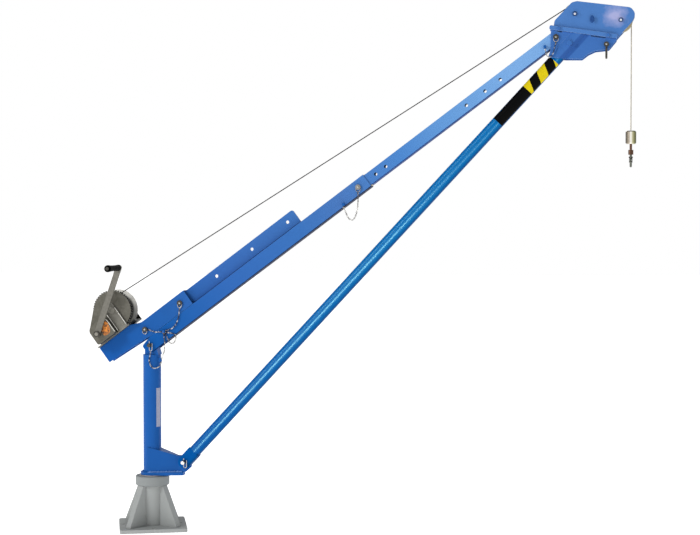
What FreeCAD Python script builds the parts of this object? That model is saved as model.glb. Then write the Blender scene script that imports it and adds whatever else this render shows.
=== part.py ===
import FreeCAD, Part
import math
import os
import Sketcher
from types import SimpleNamespace
from FreeCAD import Placement, Rotation, Vector

# Driving dimensions, in millimetres and degrees
SIZES = {
    # Pedestal that is bolted to the floor
    "base_side": 330,
    "base_thickness": 18,
    "base_corner": 14,
    "base_turn": 19,
    "anchor_circle": 280,
    "anchor_hole": 18,
    "socket_diameter": 133,
    "socket_bore": 92,
    "pedestal_height": 262,
    "collar_diameter": 168,
    "collar_height": 48,
    "collar_edge": 4,
    "rib_thickness": 30,
    "rib_foot": 173,
    "rib_head": 82,
    "rib_toe": 8,
    "bush_length": 50,
    "washer_diameter": 120,
    "washer_thickness": 4,
    # Mast that turns in the pedestal
    "spigot_diameter": 76,
    "spigot_lift": 2,
    "sole_thickness": 15,
    "sole_half_width": 58,
    "sole_reach": 165,
    "sole_nose": 24,
    "mast_diameter": 88.9,
    "mast_wall": 6.3,
    "mast_length": 575,
    "cap_thickness": 8,
    "pivot_rise": 48,
    "tongue_radius": 28,
    "tongue_front": 42,
    # Folded bracket at the mast's foot, and the strut on it
    "bracket_sheet": 5,
    "bracket_rise": 123,
    "bracket_drop": 42,
    "bracket_tip_gap": 17,
    "bracket_bend": 134,
    "foot_reach": 172,
    "foot_rise": 53,
    "foot_round": 28,
    "strut_diameter": 60.3,
    "strut_wall": 4,
    "strut_tail": 45,
    "ear_thickness": 12,
    "ear_round": 32,
    "ear_length": 70,
    "ear_collar": 14,
    "plug_length": 50,
    # Boom: outer tube with its fin, inner tube with the setting holes
    "boom_angle": 36.6,
    "boom_reach": 2481,
    "boom_side": 70,
    "boom_wall": 4,
    "boom_mouth": 1358,
    "boom_slot": 90,
    "boom_heel": 27,
    "boom_heel_rise": 20,
    "lock_margin": 54,
    "inner_side": 60,
    "inner_wall": 4,
    "inner_overlap": 208,
    "inner_nose": 24,
    "inner_chamfer": 18,
    "setting_hole": 16.5,
    "fin_thickness": 10,
    "fin_start": 30,
    "fin_end": 974,
    "fin_top": 112,
    "fin_rake": 40,
    "fin_corner": 12,
    "fin_hole": 16.5,
    "fin_hole_start": 26,
    "fin_hole_pitch": 223,
    "fin_hole_line": 77,
    # Removable winch bracket on the fin
    "seat_width": 70,
    "seat_wall": 5,
    "seat_rear": 221,
    "seat_front": 300,
    "seat_top": 140,
    "seat_gap": 1,
    "seat_lift": 18,
    "seat_step": 20,
    # Pins, clips and rings
    "pivot_pin": 20,
    "cross_pin": 16,
    "pin_head": 26,
    "pin_head_length": 9,
    "pin_stick_out": 12,
    "ring_diameter": 22,
    "ring_wire": 3.5,
    "clip_wire": 4,
    "pivot_tab_place": 101.14,
    "pivot_tab_rise": 12.08,
    "lock_tab_back": 159.87,
    "lock_tab_drop": 25.35,
    "head_tab_back": 68.55,
    "head_tab_drop": 5.42,
    # Head: two cheeks for the strut and the boom, and the sheave box above
    "head_tilt": 8.9,
    "head_pin_back": 70.1,
    "head_pin_down": 118.5,
    "head_gap": 62,
    "cheek_sheet": 5,
    "box_sheet": 4,
    "box_front": 279,
    "lip_line": 87.8,
    "lip_height": 20,
    "lip_proud": 12,
    "lip_rear": 107,
    "lip_front": 211,
    "cheek_low": 215,
    "gutter_radius": 46,
    "gutter_sheet": 4,
    "strut_bolt": 12,
    "strut_bolt_back": 3.1,
    "strut_bolt_down": 139.2,
    "sheave_spacing": 215.8,
    "sheave_pitch_radius": 48.5,
    "sheave_radius": 54,
    "sheave_width": 18,
    "axle_diameter": 16,
    "axle_head": 17,
    "axle_head_length": 7,
    "spacer_diameter": 26,
    "stay_diameter": 30,
    "lip_bolt": 8,
    "shackle_back": 167.7,
    "shackle_down": 121.7,
    "shackle_wire": 10,
    "shackle_pin": 12,
    "shackle_width": 28,
    "shackle_drop": 62,
    # Hoist rope, its weight and hook
    "rope_diameter": 5,
    "fall_length": 515,
    "weight_diameter": 50,
    "weight_length": 62,
    "weight_edge": 5,
    "stem_diameter": 12,
    "stem_length": 28,
    "nut_diameter": 24,
    "nut_length": 22,
    "hook_wire": 11,
    "hook_neck": 6,
    "hook_bend": 20,
    "hook_bowl": 17,
    "hook_tip_angle": 10,
    "hook_turn": 90,
    "latch_sheet": 2,
    "latch_bar": 5,
    "latch_pin": 4,
    "latch_down": 6,
    # Winch
    "drum_place": -48,
    "drum_height": 250,
    "drum_barrel": 60,
    "drum_width": 82,
    "drum_shift": 2,
    "hub_stick": 5.5,
    "far_hub": 3.5,
    "drum_flange": 200,
    "flange_sheet": 3,
    "wound_radius": 56.2,
    "wound_pitch": 5.6,
    "wound_turns": 6,
    "axle_bolt": 20,
    "drum_bush": 26,
    "drum_bush_length": 16,
    "gear_module": 4,
    "gear_teeth": 49,
    "pinion_teeth": 16,
    "gear_face": 10,
    "gear_backlash": 0.5,
    "gear_hub": 40,
    "mesh_angle": 25.5,
    "frame_sheet": 4,
    "frame_base": 6,
    "frame_rear": 217,
    "frame_front": 18,
    "strap_rear": 81,
    "strap_front": 25,
    "strap_top": 36,
    "guard_sheet": 2,
    "guard_margin": 3,
    "guard_show": 6,
    "cover_rear": 197,
    "cover_front": 86,
    "cover_top": 244,
    "cover_depth": 40,
    "cover_wall": 3,
    "cover_corner": 30,
    "shaft_diameter": 18,
    "disc_diameter": 46,
    "disc_thickness": 4,
    "ratchet_diameter": 54,
    "ratchet_thickness": 7,
    "ratchet_teeth": 12,
    "ratchet_depth": 5,
    "pawl_width": 8,
    "pawl_pin": 8,
    "pawl_offset": 45,
    "arm_gap": 6,
    "arm_length": 346,
    "arm_angle": 34.5,
    "arm_width": 30,
    "arm_thickness": 8,
    "hub_nut": 28,
    "hub_nut_length": 10,
    "grip_length": 165,
    "grip_diameter": 34,
    "spindle_diameter": 10,
    "spindle_head": 17,
    "spindle_head_length": 4,
    "seat_bolt": 10,
    "seat_bolt_head": 17,
    "seat_bolt_head_length": 6,
    # Lanyard chains, and the eyes that they hang from
    "chain_width": 7,
    "eye_wire": 4,
    "eye_diameter": 18,
    # Clearances
    "running_gap": 0.05,
    "side_gap": 0.5,
    "groove_gap": 0.3,
    "overrun": 1,
}

doc = FreeCAD.newDocument("davit_crane")
sheet = doc.addObject("Spreadsheet::Sheet", "dims")
for row, (name, value) in enumerate(SIZES.items(), start=1):
    sheet.set(f"A{row}", str(value))
    sheet.setAlias(f"A{row}", name)
doc.recompute()
s = SimpleNamespace(**{name: float(sheet.get(name)) for name in SIZES})

X_AXIS = Vector(1, 0, 0)
Y_AXIS = Vector(0, 1, 0)
Z_AXIS = Vector(0, 0, 1)
SIDES = (-1, 1)
parts = []


def keep(item, label):
    """Names a finished piece; its label is its node."""
    item.Label = label
    parts.append(item)
    return item


def moved(x, y, z):
    return Placement(Vector(x, y, z), Rotation())


def rounded(points):
    """Lines and tangent arcs of a closed outline, whose points are (x, y, corner radius)."""
    corners = []
    count = len(points)
    for i in range(count):
        before, here, after = (Vector(*points[(i + k) % count][:2], 0) for k in (-1, 0, 1))
        radius = points[i][2]
        if radius == 0:
            corners.append((here, None, here))
            continue
        back, on = (before - here).normalize(), (after - here).normalize()
        half = back.getAngle(on) / 2
        reach = radius / math.tan(half)
        middle = here + (back + on).normalize() * (radius / math.sin(half) - radius)
        corners.append((here + back * reach, middle, here + on * reach))
    edges = []
    for i, (start, middle, end) in enumerate(corners):
        if middle is not None:
            edges.append(Part.Arc(start, middle, end))
        following = corners[(i + 1) % count][0]
        if end.distanceToPoint(following) > Part.Precision.confusion():
            edges.append(Part.LineSegment(end, following))
    return edges


def sketch_on(body, role, edges, holes=()):
    """A sketch on one of the body's own planes; a hole is (x, y, expression of its diameter)."""
    plane = next(f for f in body.Origin.OriginFeatures if f.Role == role)
    sketch = body.newObject("Sketcher::SketchObject", "outline")
    sketch.AttachmentSupport = [(plane, "")]
    sketch.MapMode = "FlatFace"
    for edge in edges:
        sketch.addGeometry(edge, False)
    for x, y, diameter in holes:
        radius = float(sheet.evalExpression(diameter)) / 2
        circle = sketch.addGeometry(Part.Circle(Vector(x, y, 0), Z_AXIS, radius), False)
        rule = sketch.addConstraint(Sketcher.Constraint("Radius", circle, radius))
        sketch.setExpression(f"Constraints[{rule}]", f"({diameter}) / 2")
    return sketch


def plate(outline, thickness, where, holes=(), role="XZ_Plane"):
    """A flat piece, centred on its sketch's plane; thickness is an expression."""
    body = doc.addObject("PartDesign::Body", "plate")
    sketch = sketch_on(body, role, rounded(outline), holes)
    pad = body.newObject("PartDesign::Pad", "pad")
    pad.Profile = sketch
    pad.SideType = "Symmetric"
    pad.setExpression("Length", thickness)
    body.Placement = where
    return body


def turned(profile, start, axis):
    """A turned piece; the profile's points are (radius, distance from start along the axis)."""
    body = doc.addObject("PartDesign::Body", "turning")
    sketch = sketch_on(body, "XZ_Plane", rounded([(r, d, 0) for r, d in profile]))
    spin = body.newObject("PartDesign::Revolution", "spin")
    spin.Profile = sketch
    spin.ReferenceAxis = (sketch, ["V_Axis"])
    spin.Angle = 360
    body.Placement = Placement(start, Rotation(Z_AXIS, axis))
    return body


def rod(diameter, length, start, axis):
    """A round bar; diameter and length are expressions."""
    bar = doc.addObject("Part::Cylinder", "rod")
    bar.setExpression("Radius", f"({diameter}) / 2")
    bar.setExpression("Height", length)
    bar.Placement = Placement(start, Rotation(Z_AXIS, axis))
    return bar


def block(length, width, height, x, z):
    """A box that is centred across Y; its three sizes are expressions."""
    box = doc.addObject("Part::Box", "block")
    for side, expression in zip(("Length", "Width", "Height"), (length, width, height)):
        box.setExpression(side, expression)
    box.Placement = moved(x, -float(sheet.evalExpression(width)) / 2, z)
    return box


def cut(base, *tools):
    for tool in tools:
        result = doc.addObject("Part::Cut", "cut")
        result.Base = base
        result.Tool = tool
        base = result
    return base


def fuse(*pieces):
    result = doc.addObject("Part::MultiFuse", "fuse")
    result.Shapes = list(pieces)
    result.Refine = True
    return result


def common(first, second):
    result = doc.addObject("Part::Common", "common")
    result.Base = first
    result.Tool = second
    return result


def group(*pieces):
    result = doc.addObject("Part::Compound", "group")
    result.Links = list(pieces)
    return result


def placed(item, where):
    item.Placement = where
    return item


def ring(inner, outer, start, length, axis):
    """A plain turned ring."""
    return turned([(inner, 0), (outer, 0), (outer, length), (inner, length)], start, axis)


def shaped(shape):
    """A piece whose form is worked out along a path."""
    feature = doc.addObject("Part::Feature", "form")
    feature.Shape = shape
    return feature


def swept(edges, diameter):
    """A round bar along a path of lines and arcs; its volume is compared with section times length."""
    wire = Part.Wire([edge.toShape() for edge in edges])
    first = wire.OrderedEdges[0]
    start = first.valueAt(first.FirstParameter)
    way = first.tangentAt(first.FirstParameter)
    section = Part.Wire([Part.Circle(start, way, diameter / 2).toShape()])
    solid = wire.makePipeShell([section], True, False)
    expected = math.pi * diameter ** 2 / 4 * wire.Length
    if abs(solid.Volume - expected) > expected * VOLUME_SHARE:
        raise ValueError(f"a swept bar holds {solid.Volume:.0f} and not {expected:.0f} cubic millimetres")
    return solid


VOLUME_SHARE = 0.02

# Places worked out from the driving dimensions
sole_low = s.pedestal_height + s.washer_thickness
sole_top = sole_low + s.sole_thickness
cap_low = sole_top + s.mast_length
cap_top = cap_low + s.cap_thickness
pivot = Vector(0, 0, cap_top + s.pivot_rise)
foot = Vector(s.foot_reach, 0, sole_top + s.foot_rise)
boom = Placement(pivot, Rotation(Y_AXIS, -s.boom_angle))
head_pin = boom.multVec(Vector(s.boom_reach, 0, 0))
tilt = Rotation(Y_AXIS, s.head_tilt)
rear_axle = head_pin + tilt.multVec(Vector(s.head_pin_back, 0, s.head_pin_down))
head = Placement(rear_axle, tilt)
front_axle = head.multVec(Vector(s.sheave_spacing, 0, 0))
strut_bolt = head.multVec(Vector(-s.strut_bolt_back, 0, -s.strut_bolt_down))
strut_way = (strut_bolt - foot).normalize()
strut = Placement(foot, Rotation(X_AXIS, strut_way))
strut_length = foot.distanceToPoint(strut_bolt) + s.strut_tail
drum = Vector(s.drum_place, 0, s.drum_height)
mesh = math.radians(s.mesh_angle)
centres = s.gear_module * (s.gear_teeth + s.pinion_teeth) / 2
pinion = drum - Vector(math.cos(mesh), 0, math.sin(mesh)) * centres

# Pedestal: plate, socket tube, collar and ribs are welded together
half = s.base_side / 2
square = [(x * half, y * half, s.base_corner) for x, y in ((-1, -1), (1, -1), (1, 1), (-1, 1))]
anchors = [Rotation(Z_AXIS, 90 * k).multVec(Vector(s.anchor_circle / 2, 0, 0)) for k in range(4)]
plate_place = Placement(Vector(0, 0, s.base_thickness / 2), Rotation(Z_AXIS, s.base_turn))
keep(plate(square, "dims.base_thickness", plate_place,
           [(p.x, p.y, "dims.anchor_hole") for p in anchors], "XY_Plane"), "base_plate")
on_plate = Vector(0, 0, s.base_thickness)
socket_height = "dims.pedestal_height - dims.base_thickness"
keep(cut(rod("dims.socket_diameter", socket_height, on_plate, Z_AXIS),
         rod("dims.socket_bore", socket_height, on_plate, Z_AXIS)), "socket_tube")
collar_low = s.pedestal_height - s.collar_height
rim = s.collar_diameter / 2
keep(turned([(s.socket_diameter / 2, 0), (rim - s.collar_edge, 0), (rim, s.collar_edge),
             (rim, s.collar_height - s.collar_edge), (rim - s.collar_edge, s.collar_height),
             (s.socket_diameter / 2, s.collar_height)], Vector(0, 0, collar_low), Z_AXIS), "socket_collar")
rib_outline = [(0, s.base_thickness, 0), (s.rib_foot, s.base_thickness, 0),
               (s.rib_foot, s.base_thickness + s.rib_toe, 0), (s.rib_head, collar_low, 0), (0, collar_low, 0)]
core = rod("dims.socket_diameter", "dims.pedestal_height", Vector(), Z_AXIS)
ribs = []
for k in range(4):
    turn = Placement(Vector(), Rotation(Z_AXIS, s.base_turn + 45 + 90 * k))
    ribs.append(cut(plate(rib_outline, "dims.rib_thickness", turn), core))
keep(group(*ribs), "pedestal_ribs")
spigot_bore = s.spigot_diameter / 2 + s.running_gap
upper_bush = ring(spigot_bore, s.socket_bore / 2, Vector(0, 0, s.pedestal_height - s.bush_length),
                  s.bush_length, Z_AXIS)
lower_bush = ring(spigot_bore, s.socket_bore / 2, on_plate, s.bush_length, Z_AXIS)
thrust_washer = ring(spigot_bore, s.washer_diameter / 2, Vector(0, 0, s.pedestal_height), s.washer_thickness,
                     Z_AXIS)
keep(group(upper_bush, lower_bush, thrust_washer), "slew_bushes")

# Mast: spigot, sole, tube, cap and the tongue that carries the boom
spigot_low = s.base_thickness + s.spigot_lift
spigot_top = "dims.pedestal_height + dims.washer_thickness"
keep(rod("dims.spigot_diameter", f"{spigot_top} - dims.base_thickness - dims.spigot_lift",
         Vector(0, 0, spigot_low), Z_AXIS), "mast_spigot")
SOLE_ROUND_SHARE = 0.95
SOLE_SHOULDER_SHARE = 0.3
b = s.sole_half_width
sole = [(-b, -b, b * SOLE_ROUND_SHARE), (b * SOLE_SHOULDER_SHARE, -b, b / 2),
        (s.sole_reach, -s.sole_nose, s.sole_nose / 2), (s.sole_reach, s.sole_nose, s.sole_nose / 2),
        (b * SOLE_SHOULDER_SHARE, b, b / 2), (-b, b, b * SOLE_ROUND_SHARE)]
keep(plate(sole, "dims.sole_thickness", moved(0, 0, sole_low + s.sole_thickness / 2), role="XY_Plane"),
     "sole_plate")
mast_pipe = cut(rod("dims.mast_diameter", "dims.mast_length", Vector(0, 0, sole_top), Z_AXIS),
                rod("dims.mast_diameter - 2 * dims.mast_wall", "dims.mast_length", Vector(0, 0, sole_top),
                    Z_AXIS))
mast_cap = rod("dims.mast_diameter", "dims.cap_thickness", Vector(0, 0, cap_low), Z_AXIS)
keep(group(mast_pipe, mast_cap), "mast_tube")
r = s.tongue_radius
tongue = [(-r, 0, 0), (s.tongue_front, 0, 0), (r, s.pivot_rise, 0), (r, s.pivot_rise + r, r),
          (-r, s.pivot_rise + r, r)]
keep(plate(tongue, "dims.boom_side - 2 * dims.boom_wall - 2 * dims.side_gap", moved(0, 0, cap_top),
           [(0, s.pivot_rise, "dims.pivot_pin + 2 * dims.running_gap")]), "mast_tongue")

# Foot bracket: a folded sheet, tangent to the mast and drawn in to the strut's fork
tip = s.bracket_tip_gap / 2
bend = Vector(s.bracket_bend, tip, 0)
lean = math.atan2(bend.y, bend.x) + math.acos(s.mast_diameter / 2 / bend.Length)
touch = Vector(math.cos(lean), math.sin(lean), 0) * (s.mast_diameter / 2)
along = (bend - touch).normalize()
out = Vector(-along.y, along.x, 0)
heel = touch - along * (s.mast_diameter / 4)
tip_end = s.foot_reach + s.foot_round
sheet_out = s.bracket_sheet
joint = bend + Vector(sheet_out * math.tan(math.atan2(-along.y, along.x) / 2), sheet_out, 0)
wing = [heel, bend, Vector(tip_end, tip, 0), Vector(tip_end, tip + sheet_out, 0), joint,
        heel + out * sheet_out]
wings = [plate([(p.x, side * p.y, 0) for p in wing], "2 * dims.bracket_rise",
               moved(0, 0, sole_top + s.bracket_rise), role="XY_Plane") for side in SIDES]
foot_side = [(-s.mast_diameter / 2, 0, 0), (s.foot_reach, 0, 0),
             (tip_end, s.foot_rise - s.foot_round, s.foot_round / 2),
             (tip_end, s.foot_rise + s.foot_round, s.foot_round),
             (s.bracket_bend, s.bracket_rise - s.bracket_drop, 0), (0, s.bracket_rise, 0),
             (-s.mast_diameter / 2, s.bracket_rise, 0)]
side_form = plate(foot_side, "2 * dims.mast_diameter", moved(0, 0, sole_top))
web_plan = [(0, -touch.y, 0), (touch.x, -touch.y, 0), (bend.x, -tip, 0), (bend.x, tip, 0),
            (touch.x, touch.y, 0), (0, touch.y, 0)]
web_slab = plate(web_plan, "2 * dims.bracket_rise", moved(0, 0, sole_top + s.bracket_rise), role="XY_Plane")
web_side = [(0, s.bracket_rise, 0), (0, s.bracket_rise - s.bracket_sheet, 0),
            (s.bracket_bend, s.bracket_rise - s.bracket_drop - s.bracket_sheet, 0),
            (s.bracket_bend, s.bracket_rise - s.bracket_drop, 0)]
web_form = plate(web_side, "2 * dims.mast_diameter", moved(0, 0, sole_top))
mast_core = rod("dims.mast_diameter", "dims.mast_length", Vector(0, 0, sole_top), Z_AXIS)
pin_way = rod("dims.pivot_pin + 2 * dims.running_gap", "2 * dims.mast_diameter",
              foot - Y_AXIS * s.mast_diameter, Y_AXIS)
keep(cut(fuse(common(fuse(*wings), side_form), common(web_slab, web_form)), mast_core, pin_way),
     "foot_bracket")

# Strut: a fork plugged into a round tube that ends between the head's cheeks
e = s.ear_round
ear = [(-e, -e, e), (s.ear_length, -e, 0), (s.ear_length, e, 0), (-e, e, e)]
ear_inner = tip + s.bracket_sheet + s.side_gap
ears = [plate(ear, "dims.ear_thickness", moved(0, side * (ear_inner + s.ear_thickness / 2), 0))
        for side in SIDES]
bore = "(dims.strut_diameter - 2 * dims.strut_wall)"
fork = fuse(*ears, rod("dims.strut_diameter", "dims.ear_collar", Vector(s.ear_length - s.ear_collar, 0, 0),
                       X_AXIS),
            rod(f"{bore} - 2 * dims.running_gap", "dims.plug_length", Vector(s.ear_length, 0, 0), X_AXIS))
fork_way = rod("dims.pivot_pin + 2 * dims.running_gap", "2 * dims.mast_diameter", -Y_AXIS * s.mast_diameter,
               Y_AXIS)
keep(placed(cut(fork, fork_way), strut), "strut_fork")
tube_length = strut_length - s.ear_length
tube_start = Vector(s.ear_length, 0, 0)
strut_rod = rod("dims.strut_diameter", f"{tube_length}", tube_start, X_AXIS)
strut_bore = rod(bore, f"{tube_length}", tube_start, X_AXIS)
bolt_way = rod("dims.strut_bolt + 2 * dims.running_gap", "2 * dims.mast_diameter",
               Vector(strut_length - s.strut_tail, -s.mast_diameter, 0), Y_AXIS)
keep(placed(cut(strut_rod, strut_bore, bolt_way), strut), "strut_tube")

# Boom: outer tube with a heel cut back under the bracket and a slot for the tongue, and its fin
h = s.boom_side / 2
lock_place = s.boom_mouth - s.lock_margin
outer = plate([(-h, -h, h), (s.boom_mouth, -h, 0), (s.boom_mouth, h, 0), (s.boom_heel, h, 0),
               (-h, s.boom_heel_rise, s.fin_corner)], "dims.boom_side",
              Placement(),
              [(0, 0, "dims.pivot_pin + 2 * dims.running_gap"), (lock_place, 0, "dims.setting_hole")])
clear = "(dims.boom_side - 2 * dims.boom_wall)"
tunnel = block("dims.boom_mouth + 2 * dims.boom_side", clear, clear, -s.boom_side, s.boom_wall - h)
slot = block("dims.boom_side + dims.boom_slot", clear, "dims.boom_side / 2", -s.boom_side, -h - s.overrun)
keep(placed(cut(outer, tunnel, slot), boom), "outer_boom")
fin = [(s.fin_start, h, 0), (s.fin_end, h, 0), (s.fin_end, s.fin_top, s.fin_corner),
       (s.fin_start - s.fin_rake, s.fin_top, s.fin_corner / 2)]
fin_holes = [s.fin_hole_start + s.fin_hole_pitch * k for k in range(5)]
keep(plate(fin, "dims.fin_thickness", boom, [(u, s.fin_hole_line, "dims.fin_hole") for u in fin_holes]),
     "boom_fin")
i = s.inner_side / 2
c = s.inner_chamfer
SETTING_SHARES = (0.568, 0.5925, 0.7876, 0.8323, 0.8686)
setting = [lock_place, s.boom_reach] + [s.boom_reach * share for share in SETTING_SHARES]
nose = s.boom_reach + s.inner_nose
inner_start = s.boom_mouth - s.inner_overlap
inner = plate([(inner_start, -i + c, 0), (inner_start + c, -i, 0), (nose, -i, 0), (nose, i, 0),
               (inner_start, i, 0)],
              "dims.inner_side", Placement(), [(u, 0, "dims.setting_hole") for u in setting])
hollow = "(dims.inner_side - 2 * dims.inner_wall)"
core = block("dims.boom_reach", hollow, hollow, inner_start - s.overrun, s.inner_wall - i)
keep(placed(cut(inner, core), boom), "inner_boom")
shim = (s.boom_side - 2 * s.boom_wall - s.inner_side) / 2
SHIM_SHARES = (0.91, 0.98)
shims = []
for share in SHIM_SHARES:
    for side in SIDES:
        pad = block("dims.boom_side", "dims.inner_side", f"{shim}", s.boom_mouth * share - h, 0)
        pad.Placement.Base.z = i if side > 0 else -i - shim
        shims.append(pad)

# Winch bracket: an inverted channel on the fin, held by two pull pins
low = s.fin_top + s.seat_wall
seat_low = h + s.seat_gap
step = [(-s.seat_rear, seat_low + s.seat_lift, 0), (-s.seat_rear, s.seat_top, 0),
        (-s.seat_step, s.seat_top, s.seat_rear / 4), (s.fin_start, low, s.seat_rear / 4),
        (s.seat_front, low, 0), (s.seat_front, seat_low, 0), (s.fin_start, seat_low, 0)]
wide = s.overrun
under = [(-s.seat_rear - wide, seat_low - wide, 0), (-s.seat_rear - wide, s.seat_top - s.seat_wall, 0),
         (-s.seat_step, s.seat_top - s.seat_wall, s.seat_rear / 4), (s.fin_start, s.fin_top, s.seat_rear / 4),
         (s.seat_front + wide, s.fin_top, 0), (s.seat_front + wide, seat_low - wide, 0)]
bracket_holes = [(u, s.fin_hole_line, "dims.fin_hole") for u in fin_holes[:2]]
seat = cut(plate(step, "dims.seat_width", Placement(), bracket_holes),
           plate(under, "dims.seat_width - 2 * dims.seat_wall", Placement()))
bolt_rows = (-s.frame_rear + s.seat_bolt_head, s.drum_place)
bolt_side = s.seat_width / 4
bolts = [Vector(u, side * bolt_side, s.seat_top) for u in bolt_rows for side in SIDES]
drill = "dims.seat_bolt + 2 * dims.running_gap"
bolt_holes = [rod(drill, "4 * dims.seat_bolt", p - Z_AXIS * (2 * s.seat_bolt), Z_AXIS) for p in bolts]
keep(placed(cut(seat, *bolt_holes), boom), "winch_bracket")
spacer_inner = s.fin_hole / 2
spacer_start = s.fin_thickness / 2
spacer_length = s.seat_width / 2 - s.seat_wall - spacer_start
spacers = []
for u in fin_holes[:2]:
    for side in SIDES:
        spacers.append(ring(spacer_inner, s.spacer_diameter / 2,
                            Vector(u, side * spacer_start, s.fin_hole_line),
                            spacer_length, Y_AXIS * side))
keep(placed(group(*spacers, *shims), boom), "boom_spacers")


def pull_pin(place, reach, diameter):
    """A pin with a ring through its head; reach is half the width that it passes through."""
    shank = diameter / 2
    tail = s.pin_head_length + 2 * reach + s.pin_stick_out
    profile = [(0, 0), (s.pin_head / 2, 0), (s.pin_head / 2, s.pin_head_length), (shank, s.pin_head_length),
               (shank, tail - shank / 2), (shank / 2, tail), (0, tail)]
    start = place - Y_AXIS * (reach + s.side_gap + s.pin_head_length)
    eye = start + Y_AXIS * (s.pin_head_length / 2) - Z_AXIS * (s.ring_diameter / 2)
    loops = []
    for wire in ("dims.ring_wire", "dims.ring_wire + 2 * dims.side_gap"):
        loop = doc.addObject("Part::Torus", "loop")
        loop.setExpression("Radius1", "dims.ring_diameter / 2")
        loop.setExpression("Radius2", f"({wire}) / 2")
        loop.Placement = Placement(eye, Rotation(Z_AXIS, Y_AXIS))
        loops.append(loop)
    return cut(turned(profile, start, Y_AXIS), loops[1]), loops[0]


# Pins: two hold the bracket, one the head, one locks the inner boom
seat_pins = [pull_pin(boom.multVec(Vector(u, 0, s.fin_hole_line)), s.seat_width / 2, s.cross_pin)
             for u in fin_holes[:2]]
head_half = s.head_gap / 2 + s.cheek_sheet
top_pin, top_ring = pull_pin(head_pin, head_half, s.cross_pin)
keep(group(top_pin, *(pin for pin, loop in seat_pins)), "pull_pins")
lock_pin, lock_ring = pull_pin(boom.multVec(Vector(lock_place, 0, 0)), h, s.cross_pin)
keep(group(lock_pin, lock_ring), "lock_pin")


def clipped_pin(place, reach):
    """A headed pin from the far side, and the hairpin clip through its near end."""
    shank = s.pivot_pin / 2
    tail = s.pin_head_length + 2 * reach + 2 * s.side_gap + 2 * s.pin_stick_out
    profile = [(0, 0), (s.pin_head / 2, 0), (s.pin_head / 2, s.pin_head_length), (shank, s.pin_head_length),
               (shank, tail - shank / 4), (shank - shank / 4, tail), (0, tail)]
    start = place + Y_AXIS * (reach + s.side_gap + s.pin_head_length)
    eye = place - Y_AXIS * (reach + s.pin_stick_out)
    top, side = Z_AXIS * s.pivot_pin, X_AXIS * (shank + s.clip_wire)
    bow = eye - top
    low_point = bow + side * 0.5 - Z_AXIS * (side.Length / 2)
    wire = [Part.LineSegment(eye + top, bow), Part.Arc(bow, low_point, bow + side),
            Part.LineSegment(bow + side, eye + side + top * 0.5)]
    hole = rod("dims.clip_wire + dims.side_gap", "2 * dims.pivot_pin", eye - top, Z_AXIS)
    return cut(turned(profile, start, -Y_AXIS), hole), shaped(swept(wire, s.clip_wire))


pivot_pin, pivot_clip = clipped_pin(pivot, h)
foot_pin, foot_clip = clipped_pin(foot, ear_inner + s.ear_thickness)
keep(group(pivot_pin, foot_pin), "hinge_pins")
keep(group(pivot_clip, foot_clip, top_ring, *(loop for pin, loop in seat_pins)), "pin_clips")

# Head: lower cheeks with a gutter round the strut
LOWER_CHEEK_SHARES = (
    (-0.455, 0, 0), (-0.455, -0.065, 0.02), (-0.4, -0.442, 0.1), (-0.428, -0.6, 0.03), (-0.042, -0.582, 0),
    (0.307, -0.535, 0.05), (0.423, -0.414, 0.2), (0.563, -0.321, 0.2), (0.735, -0.279, 0.1),
    (0.851, -0.247, 0.05),
    (0.981, -0.028, 0.02), (0.981, 0, 0), (0.744, 0, 0), (0.744, -0.026, 0), (0.419, -0.026, 0),
    (0.419, 0, 0), (-0.209, 0, 0), (-0.209, -0.023, 0), (-0.326, -0.023, 0), (-0.326, 0, 0),
)
lip_low = -s.lip_line
low_top = lip_low - s.side_gap
lower = [(x * s.cheek_low, low_top + z * s.cheek_low, r * s.cheek_low) for x, z, r in LOWER_CHEEK_SHARES]
lower_holes = [(-s.head_pin_back, -s.head_pin_down, "dims.setting_hole"),
               (-s.strut_bolt_back, -s.strut_bolt_down, "dims.strut_bolt + 2 * dims.running_gap"),
               (s.shackle_back, -s.shackle_down, "dims.shackle_pin + 2 * dims.running_gap")]
local_bolt = Vector(-s.strut_bolt_back, 0, -s.strut_bolt_down)
local_way = tilt.inverted().multVec(strut_way)
gutter_start = local_bolt - local_way * s.cheek_low
gutter_tube = cut(rod("2 * dims.gutter_radius", "2 * dims.cheek_low", gutter_start, local_way),
                  rod("2 * (dims.gutter_radius - dims.gutter_sheet)", "2 * dims.cheek_low", gutter_start,
                      local_way))
between = block("4 * dims.cheek_low", "dims.head_gap + 2 * dims.cheek_sheet", "4 * dims.cheek_low",
                -2 * s.cheek_low, -2 * s.cheek_low)
gutter_form = plate(lower, "2 * dims.gutter_radius + 2 * dims.overrun", Placement())
bolt_drill = rod("dims.strut_bolt + 2 * dims.running_gap", "4 * dims.gutter_radius",
                 local_bolt - Y_AXIS * (2 * s.gutter_radius), Y_AXIS)
gutters = cut(common(gutter_tube, gutter_form), between, bolt_drill)
cheek_line = s.head_gap / 2 + s.cheek_sheet / 2
cheeks = [plate(lower, "dims.cheek_sheet", moved(0, side * cheek_line, 0), lower_holes) for side in SIDES]
keep(placed(fuse(*cheeks, gutters), head), "head_cheeks")

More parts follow.
